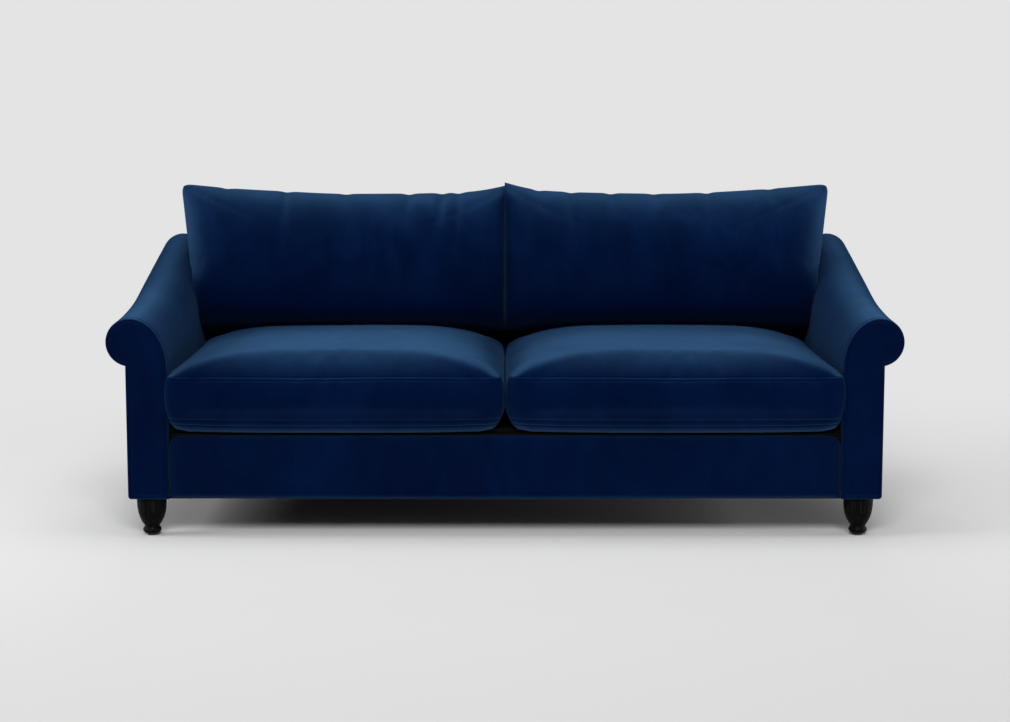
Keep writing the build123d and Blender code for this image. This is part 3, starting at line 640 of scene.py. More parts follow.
def seat_form():
    """A crowned box cushion in its place on the right."""
    low_x, high_x = seat_low[0] - INNER_PRESS, SEAT_OUTER_X
    low_y, high_y = seat_low[1], seat_high[1]
    middle_x, middle_y = (low_x + high_x) / 2, (low_y + high_y) / 2
    rows = round((BOXING_HIGH - BOXING_LOW) / CELL)
    mesh = grid_box((round((high_x - low_x) / CELL), round((high_y - low_y) / CELL), rows))
    for vert in mesh.verts:
        a, b, c = vert.co
        tuck = TOP_TUCK * max(c, 0) ** TUCK_POWER + BOTTOM_TUCK * max(-c, 0) ** TUCK_POWER
        half_x, half_y = (high_x - low_x) / 2 - tuck, (high_y - low_y) / 2 - tuck * 0.6
        corner = TOP_CORNER + (BOTTOM_CORNER - TOP_CORNER) * (1 - c) / 2
        ring = max(abs(a), abs(b), 1e-9)
        edge = rounded_outline(a / ring * half_x, b / ring * half_y, half_x, half_y, corner)
        x, y = edge[0] * ring, edge[1] * ring
        in_x, in_y = half_x * (1 - abs(a)), half_y * (1 - abs(b))
        if c > 1 - 1e-6:
            rise = max(0.0, smooth_least(in_x / CROWN_RUN[0], in_y / CROWN_RUN[1], HIP_BLEND))
            steep = (1 - (1 - min(rise, 1)) ** 2) ** 0.75
            z = BOXING_HIGH + CROWN * steep + DOME * (1 - a * a) * (1 - b * b)
        elif c < -1 + 1e-6:
            z = BOXING_LOW - BELLY * quarter(smooth_least(in_x, in_y, BELLY_BLEND) / BELLY_RUN)
        else:
            z = (BOXING_LOW + BOXING_HIGH) / 2 + c * (BOXING_HIGH - BOXING_LOW) / 2
        vert.tag = abs(abs(c) - 1 + 2 / rows) < 1e-6
        vert.co = (middle_x + x, middle_y + y, z)
    return mesh


print("seat cushion", round(SEAT_OUTER_X - seat_low[0], 3), "wide, crown", CROWN + DOME, "high")

# %% [markdown]
# ## Seams of the seat cushions
#
# A felled seam shows as two soft lips with a valley between them, and a row of stitches a finger's
# breadth from it. A bump would vanish from the side, so both are cut: the loops of edges are bevelled,
# and the middle of each bevel is pushed in.

# %% Seams and stitches
SEAM_WIDTH = 0.0022
SEAM_DEPTH = 0.0011
STITCH_WIDTH = 0.0013
STITCH_DEPTH = 0.0007


def seam_edges(mesh):
    """The two loops of edges where a box cushion's panels meet its boxing."""
    return [e for e in mesh.edges if len(e.link_faces) == 2 and e.link_faces[0].tag != e.link_faces[1].tag]


def stitch_edges(mesh):
    """The two loops of edges one cell away from the seams, where the seams are stitched down."""
    return [e for e in mesh.edges if e.verts[0].tag and e.verts[1].tag]


def tag_panels(mesh):
    """Mark the boxing's faces, so that the seams can be found after the cloth has moved."""
    for face in mesh.faces:
        heights = [v.co.z for v in face.verts]
        face.tag = min(heights) > BOXING_LOW - 1e-4 and max(heights) < BOXING_HIGH + 1e-4


def sew(mesh, edges, width, depth):
    """Bevel some edges into two lips with a stitched valley between them."""
    made = bmesh.ops.bevel(
        mesh, geom=edges, offset=width, offset_type="OFFSET", segments=4, profile=0.5,
        affect="EDGES", material=-1, clamp_overlap=True,
    )
    mesh.normal_update()
    faces = set(made["faces"])
    moves = {}
    for vert in {v for f in faces for v in f.verts}:
        inside = sum(f in faces for f in vert.link_faces)
        moves[vert] = -depth if inside == len(vert.link_faces) else 0.0
    for vert, move in moves.items():
        vert.co += vert.normal * move


print("seams are", SEAM_WIDTH, "wide and stitches", STITCH_WIDTH)

# %% [markdown]
# ## Seat cushions in place
#
# On the sofa a cushion is flat only where it rests. Its front sags over the edge of the deck and spreads
# a little past the arms, its side is pressed by the arm, and its other side by its twin. So the swollen
# cushion is settled against those limits before its seams are sewn.

# %% Swell, settle and sew the seat cushions
FRONT_SAG = 0.0145
SAG_START = FACING_Y + 0.023
SAG_FULL = FACING_Y + 0.008
SAG_FADE = (seat_low[2] + 0.006, BOXING_LOW + 0.030)
SEAT_CAP = 0.006
DECK_CLEAR = 0.0004
TWIN_LAP = 0.0003
SEAT_ARM_CLEAR = 0.0012
FRONT_SPREAD = 0.0140
SPREAD_START = FACING_Y + 0.006
SPREAD_RUN = 0.008
DENT_SCALE = 3.1
DENT_DEPTH = 0.0022
DENT_APART = 7.0
DENT_FADE = 0.1


def settle_seat(mesh):
    """Rest the cushion on the deck, and keep it between the arms and clear of its twin."""
    for vert in mesh.verts:
        across = 2 * (vert.co.x - seat_low[0]) / (SEAT_OUTER_X - seat_low[0]) - 1
        droop = (1 - ease(vert.co.y, SAG_FULL, SAG_START)) * (0.45 + 0.55 * (1 - across**4))
        vert.co.z = max(vert.co.z, seat_low[2] + DECK_CLEAR)
        vert.co.z -= FRONT_SAG * droop * (1 - ease(vert.co.z, *SAG_FADE))
        vert.co.x = max(vert.co.x, seat_low[0] - TWIN_LAP)
        in_front = min(max((SPREAD_START - vert.co.y) / SPREAD_RUN, 0), 1)
        limit = ARM_INNER_X - SEAT_ARM_CLEAR + FRONT_SPREAD * in_front
        vert.co.x = min(vert.co.x, limit)
        vert.co.y = min(vert.co.y, seat_high[1] - DECK_CLEAR)


seat_tops = {}
for side, sign in SIDES:
    cushion = seat_form()
    tag_panels(cushion)
    swell(cushion, f"seat_{side}", pressure=3.0, frames=12, stiffness=18, bending=1.2, cap=SEAT_CAP)
    for vert in cushion.verts:
        spot = vert.co * DENT_SCALE + Vector((DENT_APART * sign, 0, 0))
        vert.co.z += DENT_DEPTH * noise.noise(spot) * min(1, (vert.co.z - seat_low[2]) / DENT_FADE)
    bmesh.ops.smooth_vert(
        cushion, verts=cushion.verts, factor=0.3, use_axis_x=True, use_axis_y=True, use_axis_z=True,
    )
    settle_seat(cushion)
    if sign < 0:
        cushion = mirrored(cushion)
    stuffing_in(cushion, f"seat_stuffing_{side}", 0.96, f"seat_{side}", f"seat_core_{side}")
    seams, stitches = seam_edges(cushion), stitch_edges(cushion)
    sew(cushion, stitches, STITCH_WIDTH, STITCH_DEPTH)
    sew(cushion, seams, SEAM_WIDTH, SEAM_DEPTH)
    seat_tops[side] = BVHTree.FromBMesh(cushion)
    name = f"seat_cushion_cover_{side}"
    covered = (f"seat_cushion_{side}",)
    piece = place(cushion, name, seat_velvet, f"seat_{side}", "velvet", covered, subdivide=1)

# %% [markdown]
# ## Back cushions
#
# The back cushions are knife-edge pillows: two panels sewn edge to edge and stuffed with feather. The
# stuffing pulls the rim in between the corners, which leaves an ear at each corner and small gathers
# below the top seam. Two grids that share their rim are given that shape: plump in the middle, thin at
# the rim, dipped along the top, eased by smoothing, and then drawn in along each gather.

# %% Shape of a back cushion
PILLOW_HEIGHT = 0.416
PILLOW_INNER_X = -0.020
PILLOW_FOOT_X = 0.866
PILLOW_EAR_X = 0.911
PILLOW_SPREAD = 0.040
PILLOW_THICK = 0.196
PILLOW_CELL = 0.010
PILLOW_DIP = 0.024
PILLOW_EAR = 0.024
PILLOW_EASING = 10
PLUMP_INNER = 9
PLUMP_OUTER = 8
PLUMP_FOOT = 10
PLUMP_TOP = 2.2
PLUMP_BOTTOM = 6.5
RIM = 1e-7
SEAM_CREASE = 0.55
INNER_LIFT = {"left": 0.0, "right": 0.010}
GATHER_WIDTH = 0.012
GATHER_SLANT = 0.10
GATHERS = {
    "left": (
        (0.86, 0.06, 0.0045), (0.68, 0.22, 0.0070), (0.50, 0.08, 0.0045), (0.31, 0.12, 0.0080),
        (0.21, 0.18, 0.0090), (0.16, 0.30, 0.0070),
    ),
    "right": (
        (0.12, 0.10, 0.0060), (0.22, 0.24, 0.0075), (0.34, 0.12, 0.0080), (0.47, 0.07, 0.0050),
        (0.63, 0.15, 0.0065), (0.82, 0.08, 0.0050),
    ),
}


def gather(across, below, side):
    """How far the cloth is drawn in by the gathers along the top seam."""
    pull = 0.0
    for place_across, length, depth in GATHERS[side]:
        offset = (across - place_across - GATHER_SLANT * below) * PILLOW_EAR_X / GATHER_WIDTH
        pull += depth * math.exp(-offset * offset) * (1 - ease(below, 0.0, length))
    return pull


def pillow_form(side):
    """Two panels sewn together round the rim and filled, with ears at the corners."""
    mesh = grid(round(PILLOW_EAR_X / PILLOW_CELL), round(PILLOW_HEIGHT / PILLOW_CELL))
    twin = bmesh.ops.duplicate(mesh, geom=mesh.verts[:] + mesh.edges[:] + mesh.faces[:])
    behind = {g for g in twin["geom"] if isinstance(g, bmesh.types.BMVert)}
    bmesh.ops.reverse_faces(mesh, faces=[g for g in twin["geom"] if isinstance(g, bmesh.types.BMFace)])
    half_height = PILLOW_HEIGHT / 2
    cut = {}
    for vert in mesh.verts:
        s, t, _ = vert.co
        cut[vert] = (s, t)
        a, b = 2 * s - 1, 2 * t - 1
        spread = PILLOW_SPREAD * (1 - ease(t, 0.15, 0.48))
        outer = PILLOW_FOOT_X + (PILLOW_EAR_X - PILLOW_FOOT_X) * t + spread
        half_width = (outer - PILLOW_INNER_X) / 2
        ring = max(abs(a), abs(b), 1e-9)
        rim_x, rim_z = a / ring * half_width, b / ring * half_height
        edge = rounded_outline(rim_x, rim_z, half_width, half_height, PILLOW_EAR)
        x, z = edge[0] * ring, edge[1] * ring
        outer_power = PLUMP_OUTER + PLUMP_FOOT * ease(-b, -0.1, 0.5)
        plump = math.sqrt(1 - abs(a) ** (outer_power if a > 0 else PLUMP_INNER))
        plump *= math.sqrt(1 - abs(b) ** (PLUMP_TOP if b > 0 else PLUMP_BOTTOM))
        depth = PILLOW_THICK / 2 * plump
        dip = PILLOW_DIP * (1 - abs(a) ** (1.5 if a > 0 else 6))
        z += INNER_LIFT[side] * (1 - s) ** 5 * t**3 - dip * ease(b, -0.2, 1.0)
        vert.co = (PILLOW_INNER_X + half_width + x, depth if vert in behind else -depth, half_height + z)
    turn_out(mesh)
    inner = [v for v in mesh.verts if abs(v.co.y) > RIM]
    for _ in range(PILLOW_EASING):
        bmesh.ops.smooth_vert(mesh, verts=inner, factor=0.5, use_axis_y=True)
    for vert in mesh.verts:
        s, t = cut[vert]
        drawn = gather(s, (1 - t) * PILLOW_HEIGHT, side)
        vert.co.z -= drawn * 0.5
        vert.co.y -= math.copysign(min(drawn, abs(vert.co.y)), vert.co.y)
    crease = mesh.edges.layers.float.new("crease_edge")
    for edge in mesh.edges:
        if all(abs(v.co.y) < RIM for v in edge.verts):
            edge[crease] = SEAM_CREASE
    return mesh


print("back cushion", PILLOW_HEIGHT, "high, with", len(GATHERS["left"]), "gathers")

# %% [markdown]
# ## Back cushions in place
#
# A feather pillow takes the shape of what it leans on. A short cloth simulation eases the panels, then
# the pillow is set on the seat at the back's rake. Points that would sink into the seat, the arm or the
# back are pressed out, and its rear is pressed in along the zip, so that the tape and teeth show.

# %% Swell, lean and settle the back cushions
zip_low, zip_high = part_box("back_zip_right")
PILLOW_FOOT = 0.452
PILLOW_REAR = 0.0045
PILLOW_MEET_X = -0.0010
PILLOW_CAP = 0.005
PILLOW_SEAT_CLEAR = 0.0015
PILLOW_ARM_CLEAR = 0.002
PILLOW_BACK_CLEAR = 0.003
ZIP_CLEAR = 0.0002
ZIP_BAND = (0.010, 0.030)
ZIP_ENDS = (0.008, 0.030)


def lean(mesh):
    """Set the pillow on the seat against the back."""
    foot = height_on_rake(-PILLOW_REAR - PILLOW_THICK / 2, PILLOW_FOOT)
    for vert in mesh.verts:
        vert.co = on_rake(vert.co.x, vert.co.y - PILLOW_REAR - PILLOW_THICK / 2, foot + vert.co.z)


def arm_inside_x(y, z):
    """X of the inside of the right arm at a depth and height."""
    centre = roll_height(y)
    turn = centre - ARM_DROP
    if z <= turn:
        return ARM_INNER_X
    rise = min((z - turn) / (ROLL_RADIUS + ARM_DROP), 1)
    return ROLL_X - (ROLL_X - ARM_INNER_X) * math.sqrt(1 - rise * rise)


def settle_pillow(mesh, seat):
    """Keep the pillow off the seat, the back and the arm, pressing it where it would sink in."""
    for vert in mesh.verts:
        hit = seat.ray_cast(Vector((vert.co.x, vert.co.y, 1.0)), Vector((0, 0, -1)))[0]
        if hit:
            vert.co.z = max(vert.co.z, hit.z + PILLOW_SEAT_CLEAR)
        limit = arm_inside_x(vert.co.y, vert.co.z) - PILLOW_ARM_CLEAR
        if vert.co.z < roll_height(vert.co.y) + ROLL_RADIUS:
            vert.co.x = min(vert.co.x, limit)
        vert.co.x = max(vert.co.x, PILLOW_MEET_X)
        behind = (vert.co - on_rake(0, -PILLOW_BACK_CLEAR, 0)).dot(RAKE_OUT)
        if behind > 0:
            vert.co -= RAKE_OUT * behind


def clear_zip(mesh):
    """Press the pillow's rear in along the zip, so that its tape and teeth lie on the cover."""
    middle = (zip_low[2] + zip_high[2]) / 2
    for vert in mesh.verts:
        past_end = max(zip_low[0] - vert.co.x, vert.co.x - zip_high[0])
        loose = max(ease(abs(vert.co.z - middle), *ZIP_BAND), ease(past_end, *ZIP_ENDS))
        pressed = zip_low[1] + ZIP_CLEAR + (vert.co.z - zip_low[2]) * math.tan(RAKE)
        if vert.co.y > pressed:
            vert.co.y += (pressed - vert.co.y) * (1 - loose)


for side, sign in SIDES:
    pillow = pillow_form(side)
    swell(
        pillow, f"back_{side}", pressure=5.0, frames=10, stiffness=40, bending=0.8, cap=PILLOW_CAP,
        keep=(0.15, 1, 0.15),
    )
    lean(pillow)
    settle_pillow(pillow, seat_tops["right"])
    clear_zip(pillow)
    if sign < 0:
        pillow = mirrored(pillow)
    stuffing_in(pillow, f"back_stuffing_{side}", 0.86, f"back_{side}", f"back_fill_{side}")
    name = f"back_cushion_cover_{side}"
    covered = (f"back_cushion_{side}",)
    piece = place(pillow, name, pillow_velvet, f"back_{side}", "velvet", covered, subdivide=1)

# %% [markdown]
# ## Arms
#
# The inside of each arm and its roll are one length of velvet, pulled over padding from the seat to
# the underside of the roll. It could be swept along a curve, but the template rises along the arm and
# the far end follows the back's rake. So a grid is wrapped round the template at every depth, moved
# back to the rake a few times until it fits, and given a thickness.

# %% Wrap the arms
arm_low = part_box("arm_pad_right")[0]
PAD_SKIN = 0.010
ARM_COLUMNS = 72
UPRIGHT_ROWS, SWEEP_ROWS, SCROLL_ROWS = 24, 28, 28
TUCK_Z = arm_low[2] + 0.002
NECK = math.acos((ARM_OUTER_X - ROLL_X) / ROLL_RADIUS)


def arm_section(row, y):
    """X and Z of the arm's surface: up from the seat, over the sweep and round the scroll."""
    centre = roll_height(y)
    turn = centre - ARM_DROP
    if row <= UPRIGHT_ROWS:
        return ARM_INNER_X, TUCK_Z + (turn - TUCK_Z) * row / UPRIGHT_ROWS
    row -= UPRIGHT_ROWS
    if row <= SWEEP_ROWS:
        angle = math.pi / 2 * row / SWEEP_ROWS
        x = ROLL_X - (ROLL_X - ARM_INNER_X) * math.cos(angle)
        return x, turn + (ROLL_RADIUS + ARM_DROP) * math.sin(angle)
    angle = math.pi / 2 - (math.pi / 2 + NECK) * (row - SWEEP_ROWS) / SCROLL_ROWS
    return ROLL_X + ROLL_RADIUS * math.cos(angle), centre + ROLL_RADIUS * math.sin(angle)


def depth_on_rake(v, z):
    """Y of the back's surface at depth v and height z."""
    return on_rake(0, v, height_on_rake(v, z)).y


def arm_cover():
    rows = UPRIGHT_ROWS + SWEEP_ROWS + SCROLL_ROWS
    mesh = grid(ARM_COLUMNS, rows)
    for vert in mesh.verts:
        row, along = round(vert.co.y * rows), vert.co.x
        y = FACING_REAR_Y + along * (REAR_Y - FACING_REAR_Y)
        for _ in range(4):
            x, z = arm_section(row, y)
            y = FACING_REAR_Y + along * (depth_on_rake(BACK_THICK - OUTSIDE_PAD, z) - FACING_REAR_Y)
        vert.co = (x, y, z)
    bmesh.ops.recalc_face_normals(mesh, faces=mesh.faces)
    outermost = max(mesh.faces, key=lambda f: f.calc_center_median().x)
    if outermost.normal.x < 0:
        bmesh.ops.reverse_faces(mesh, faces=mesh.faces)
    bmesh.ops.solidify(mesh, geom=mesh.faces[:], thickness=PAD_SKIN)
    bmesh.ops.recalc_face_normals(mesh, faces=mesh.faces)
    return mesh


right_cover = arm_cover()
for side, sign in SIDES:
    cover = right_cover.copy() if sign > 0 else mirrored(right_cover)
    name = f"arm_cover_{side}"
    piece = place(cover, name, arm_velvet, "frame", "velvet", (f"arm_pad_{side}",))
right_cover.free()

# %% [markdown]
# ## Flat padded panels
#
# The fronts of the arms and the outside back are flat boards with a thin pad. Each has the same make:
# one outline is drawn again and again, further in and higher each time, so that it rounds over the
# edge and dips along a stitched line just inside it. Bridging such rings can pair the wrong points where
# two of them lie in one plane, so each ring is extruded from the one before and moved into place.

# %% Panel maker
VALLEY_STEP = 0.0010
VALLEY_DEPTH = 0.0014
EDGE_STEPS = 5


def lofted(rings):
    """A closed mesh through rings of points, each ring extruded from the one before."""
    mesh = bmesh.new()
    verts = [mesh.verts.new(point) for point in rings[0]]
    edges = [mesh.edges.new((verts[k - 1], verts[k])) for k in range(len(verts))]
    mesh.faces.new([verts[0]] + verts[:0:-1])
    for ring in rings[1:]:
        made = bmesh.ops.extrude_edge_only(mesh, edges=edges)["geom"]
        raised = {g for g in made if isinstance(g, bmesh.types.BMVert)}
        edges = [g for g in made if isinstance(g, bmesh.types.BMEdge) and raised.issuperset(g.verts)]
        verts = [next(e.other_vert(v) for e in v.link_edges if e.other_vert(v) in raised) for v in verts]
        for vert, point in zip(verts, ring):
            vert.co = point
    mesh.faces.new(verts)
    return mesh


def panel(outline, levels):
    """A padded board from one outline at several insets; each level is an inset and a height."""
    return lofted([[(x, y, height) for x, y in outline(inset)] for inset, height in levels])


def padded_levels(thickness, edge, seam_in):
    """Levels of a board with a rounded edge and a stitched valley just inside it."""
    levels = [(0.0, 0.0)]
    for step in range(EDGE_STEPS + 1):
        angle = math.pi / 2 * step / EDGE_STEPS
        levels.append((edge * (1 - math.cos(angle)), thickness - edge + edge * math.sin(angle)))
    for steps, depth in ((0, 0), (1, VALLEY_DEPTH), (2, VALLEY_DEPTH), (3, 0), (10, 0)):
        levels.append((seam_in + steps * VALLEY_STEP, thickness - depth))
    return levels


def arc(centre, radius, start, end, count):
    """Points of an arc or a quarter ellipse; radius is a number or a pair."""
    rx, ry = radius if isinstance(radius, tuple) else (radius, radius)
    return [
        (centre[0] + rx * math.cos(start + (end - start) * k / count),
         centre[1] + ry * math.sin(start + (end - start) * k / count))
        for k in range(count + 1)
    ]


print("panels have a stitched valley", VALLEY_DEPTH, "deep")

# %% [markdown]
# ## Arm fronts
#
# The front of each arm is a board in the shape of a keyhole, covered and stitched round its edge. The
# scroll is an arc, the inner side runs into it along a quarter ellipse, and the lower corners are only
# eased, so four arcs draw the whole outline.

# %% Arm fronts
FOOT_ROUND = 0.008
INNER_ROUND = 0.002
PANEL_EDGE = 0.006
PANEL_SEAM_IN = 0.0065


def facing_outline(inset):
    """The arm's keyhole shape in X and Z."""
    inner, outer, foot = ARM_INNER_X + inset, ARM_OUTER_X - inset, BASE_Z + inset
    radius = ROLL_RADIUS - inset
    neck = math.acos((outer - ROLL_X) / radius)
    sweep = (ROLL_X - inner, ROLL_RADIUS + ARM_DROP - inset)
    points = arc((outer - FOOT_ROUND, foot + FOOT_ROUND), FOOT_ROUND, -math.pi / 2, 0, 4)
    points += arc((ROLL_X, ROLL_Z), radius, -neck, math.pi / 2, 40)
    points += arc((ROLL_X, ROLL_Z - ARM_DROP), sweep, math.pi / 2, math.pi, 28)[1:]
    points += arc((inner + INNER_ROUND, foot + INNER_ROUND), INNER_ROUND, math.pi, 1.5 * math.pi, 4)
    return points


facing_levels = padded_levels(FACING_REAR_Y - FACING_Y, PANEL_EDGE, PANEL_SEAM_IN)
right_facing = panel(facing_outline, facing_levels)
print("arm front of", len(facing_levels), "rings,", len(right_facing.verts), "points")
for vert in right_facing.verts:
    x, z, out = vert.co
    vert.co = (x, FACING_REAR_Y - out, z)
bmesh.ops.recalc_face_normals(right_facing, faces=right_facing.faces)
for side, sign in SIDES:
    mesh = right_facing.copy() if sign > 0 else mirrored(right_facing)
    name = f"arm_front_{side}"
    piece = place(mesh, name, navy_velvet, "frame", "velvet", (f"arm_facing_{side}",))
right_facing.free()

# %% [markdown]
# ## Outside arms
#
# The outside of each arm is a plain panel that runs up under the roll. Its cloth is drawn over a
# board, so it swells only a few millimetres in the middle. As on the inside of the arm, a grid is moved
# to the sloping top and the raked end a few times until it fits both.

# %% Outside arm panels
PANEL_SWELL = 0.004
PANEL_THICK = 0.009
PANEL_SINK = 0.0005
PANEL_LAP = 0.001
PANEL_CELLS = (60, 34)
FIRST_LENGTH = 0.8


def outside_arm():
    mesh = grid(*PANEL_CELLS)
    for vert in mesh.verts:
        along, up = vert.co.x, vert.co.y
        y = FACING_REAR_Y + along * FIRST_LENGTH
        for _ in range(3):
            top = roll_height(y) - ROLL_RADIUS * math.sin(NECK) + PANEL_LAP
            z = BASE_Z + up * (top - BASE_Z)
            y = FACING_REAR_Y + along * (depth_on_rake(BACK_THICK - OUTSIDE_PAD, z) - FACING_REAR_Y)
        puff = PANEL_SWELL * (1 - (2 * along - 1) ** 4) * (1 - (2 * up - 1) ** 4)
        vert.co = (ARM_OUTER_X - PANEL_SINK + puff, y, z)
    bmesh.ops.recalc_face_normals(mesh, faces=mesh.faces)
    mesh.faces.ensure_lookup_table()
    if mesh.faces[0].normal.x < 0:
        bmesh.ops.reverse_faces(mesh, faces=mesh.faces)
    bmesh.ops.solidify(mesh, geom=mesh.faces[:], thickness=PANEL_THICK)
    bmesh.ops.recalc_face_normals(mesh, faces=mesh.faces)
    return mesh


right_outside = outside_arm()
for side, sign in SIDES:
    mesh = right_outside.copy() if sign > 0 else mirrored(right_outside)
    name = f"arm_outside_cover_{side}"
    piece = place(mesh, name, navy_velvet, "frame", "velvet", (f"arm_outside_{side}",))
right_outside.free()

# %% [markdown]
# ## Front border
#
# The strip below the cushions is padded too. Its top corners are drawn in round, which leaves a small
# notch beside each arm, and its lower edge hangs a touch lower in the middle. A bevelled box would keep
# a flat face, so a cut cube is used, which has enough points to round the edge and swell the face.

# %% Front border
border_low, border_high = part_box("front_border")
BORDER_CELLS = (140, 4, 18)
BORDER_TOP = 0.2615
BORDER_CORNER = 0.030
BORDER_EDGE = 0.012
BORDER_BLEND = 0.01
BORDER_SWELL = 0.002
BORDER_BOW = 0.003
BORDER_CLEAR = 0.0012


def border_form():
    half_x = (border_high[0] - border_low[0]) / 2 - BORDER_CLEAR
    half_z = (BORDER_TOP - border_low[2]) / 2
    middle_z = (BORDER_TOP + border_low[2]) / 2
    mesh = grid_box(BORDER_CELLS)
    for vert in mesh.verts:
        a, b, c = vert.co
        x, z = a * half_x, c * half_z
        ring = max(abs(a), abs(c), 1e-9)
        if c > 0:
            edge = rounded_outline(a / ring * half_x, c / ring * half_z, half_x, half_z, BORDER_CORNER)
            x, z = edge[0] * ring, edge[1] * ring
        inward = smooth_least(half_x * (1 - abs(a)), half_z * (1 - abs(c)), BORDER_BLEND)
        round_off = BORDER_EDGE * (1 - quarter(inward / BORDER_EDGE))
        front = border_low[1] + round_off - BORDER_SWELL * (1 - c**4) * (1 - a**8)
        y = front + (border_high[1] - front) * (b + 1) / 2
        bow = BORDER_BOW * (1 - a * a) * (1 - c) / 2
        vert.co = (x, y, middle_z + z - bow)
    turn_out(mesh)
    return mesh


covered = ("front_border",)
border = place(border_form(), "front_border_cover", border_velvet, "frame", "velvet", covered, subdivide=1)

# %% [markdown]
# ## Lining round the border
#
# Two strips of black lining, a thin one behind the border and one on its top, keep the rails out of
# sight in the notches and between the cushions. Both are plain strips, so one function fills the box
# between two corners.

# %% Lining strips
BACKING_THICK = 0.0012
BACKING_ENDS = 0.0001
BACKING_FOOT = 0.0003
LIP_ENDS = 0.0010
LIP_CLEAR = 0.0008
LIP_LAP = 0.006


def lining_strip(name, cells, low, high):
    """A strip of black lining that fills the box between two corners."""
    mesh = grid_box(cells)
    for vert in mesh.verts:
        vert.co = [start + (end - start) * (share + 1) / 2 for start, end, share in zip(low, high, vert.co)]
    place(mesh, name, lining, "frame", "lining_cloth")


backing_x = ARM_INNER_X - BACKING_ENDS
lining_strip(
    "front_border_backing", (8, 1, 4),
    (-backing_x, FACING_REAR_Y - BACKING_THICK / 2, BASE_Z + BACKING_FOOT),
    (backing_x, FACING_REAR_Y + BACKING_THICK / 2, border_high[2]),
)
lip_x = ARM_INNER_X - LIP_ENDS
lining_strip(
    "front_border_lip", (8, 2, 2),
    (-lip_x, FACING_REAR_Y + LIP_CLEAR, BORDER_TOP - LIP_LAP),
    (lip_x, border_high[1] - LIP_CLEAR, border_high[2]),
)

# %% [markdown]
# ## Inside back
#
# The inside of the back is padded and has a rounded top. It is mostly behind the cushions, but its top
# shows from above and behind. Near the arms the real cover is tucked down into the roll. So one profile
# is set out at several stations across the sofa, its ends fall into the arms, and the cover is lofted
# through the stations as the panels are through their rings.

# %% Inside back
inside_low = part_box("back_inside_pad")[0]
BACK_PAD = 0.045
BACK_CAP = 0.030
BACK_ROUND = 0.028
FACE_STEP = 0.03
FACE_STEPS = 10
ARM_LAP = 0.004
ARM_SINK = 0.003
BACK_REACH = 0.918
BACK_ENDS = (0.5, 0.90, 0.925, 0.94, 0.955, 0.97, 0.985, 1.0)
FALL_START, FALL_END = 0.852, 0.897
FALL_LATE = 0.0105
LATE_START, LATE_END = 0.30, 0.36


def arm_top_z(x, y):
    """Height of the arm's surface above a point that is over its inner sweep."""
    across = min(max((ROLL_X - x) / (ROLL_X - ARM_INNER_X), 0), 1)
    return roll_height(y) - ARM_DROP + (ROLL_RADIUS + ARM_DROP) * math.sqrt(1 - across * across)


def inside_back_form():
    """A padded back whose ends fall into the arms."""
    thick = BACK_THICK - OUTSIDE_PAD
    foot = height_on_rake(BACK_PAD, inside_low[2])
    shoulder = BACK_TOP - BACK_ROUND
    profile = [(0, foot), (BACK_PAD, foot), (BACK_PAD, BACK_TOP - BACK_CAP), (thick, BACK_TOP - BACK_CAP)]
    profile += [(thick, BACK_TOP)] + arc((BACK_ROUND, shoulder), BACK_ROUND, math.pi / 2, math.pi, 8)
    profile += [(0, shoulder - step * FACE_STEP) for step in range(1, FACE_STEPS + 1)]
    rows = []
    for share in [-e for e in reversed(BACK_ENDS)] + [0.0] + list(BACK_ENDS):
        row = []
        for v, u in profile:
            spot = on_rake(0, v, u)
            spot.x = share * min(arm_inside_x(spot.y, spot.z) + ARM_LAP, BACK_REACH)
            sunk = min(spot.z, arm_top_z(abs(spot.x), spot.y) - ARM_SINK)
            late = FALL_LATE * ease(spot.y, LATE_START, LATE_END)
            spot.z += (sunk - spot.z) * ease(abs(spot.x), FALL_START + 2 * late, FALL_END + late)
            row.append(spot)
        rows.append(row)
    mesh = lofted(rows)
    turn_out(mesh)
    return mesh


covered = ("back_inside_pad",)
inside_back = place(inside_back_form(), "inside_back_cover", navy_velvet, "frame", "velvet", covered)

# %% [markdown]
# ## Outside back
#
# The outside back is a flat padded panel whose upper corners end in the scrolls of the two arms. It is
# made as the arm fronts are, from one outline, and then leaned to the rake.

# %% Outside back
def outside_back_outline(inset):
    """The outside back in X and height along the rake, with a scroll end at each arm."""
    roll_u = BACK_TOP - ROLL_RADIUS
    outer, foot = ARM_OUTER_X - inset, height_on_rake(BACK_THICK, BASE_Z) + inset
    radius = ROLL_RADIUS - inset
    neck = math.acos((outer - ROLL_X) / radius)
    right = arc((outer - FOOT_ROUND, foot + FOOT_ROUND), FOOT_ROUND, -math.pi / 2, 0, 4)
    right += arc((ROLL_X, roll_u), radius, -neck, math.pi / 2, 40)
    return right + [(-x, u) for x, u in reversed(right)]


outside_mesh = panel(outside_back_outline, padded_levels(OUTSIDE_PAD, PANEL_EDGE, PANEL_SEAM_IN))
for vert in outside_mesh.verts:
    x, u, out = vert.co
    vert.co = on_rake(x, BACK_THICK - OUTSIDE_PAD + out, u)
turn_out(outside_mesh)
covered = ("back_outside_panel",)
outside_back = place(outside_mesh, "outside_back_cover", navy_velvet, "frame", "velvet", covered)

# %% [markdown]
# ## Legs
#
# The legs are turned: a bun foot under an urn. A lathe works by spinning one outline, and so does
# `bmesh.ops.spin`, which is why no cylinder is needed. One subdivision rounds the outline's steps.

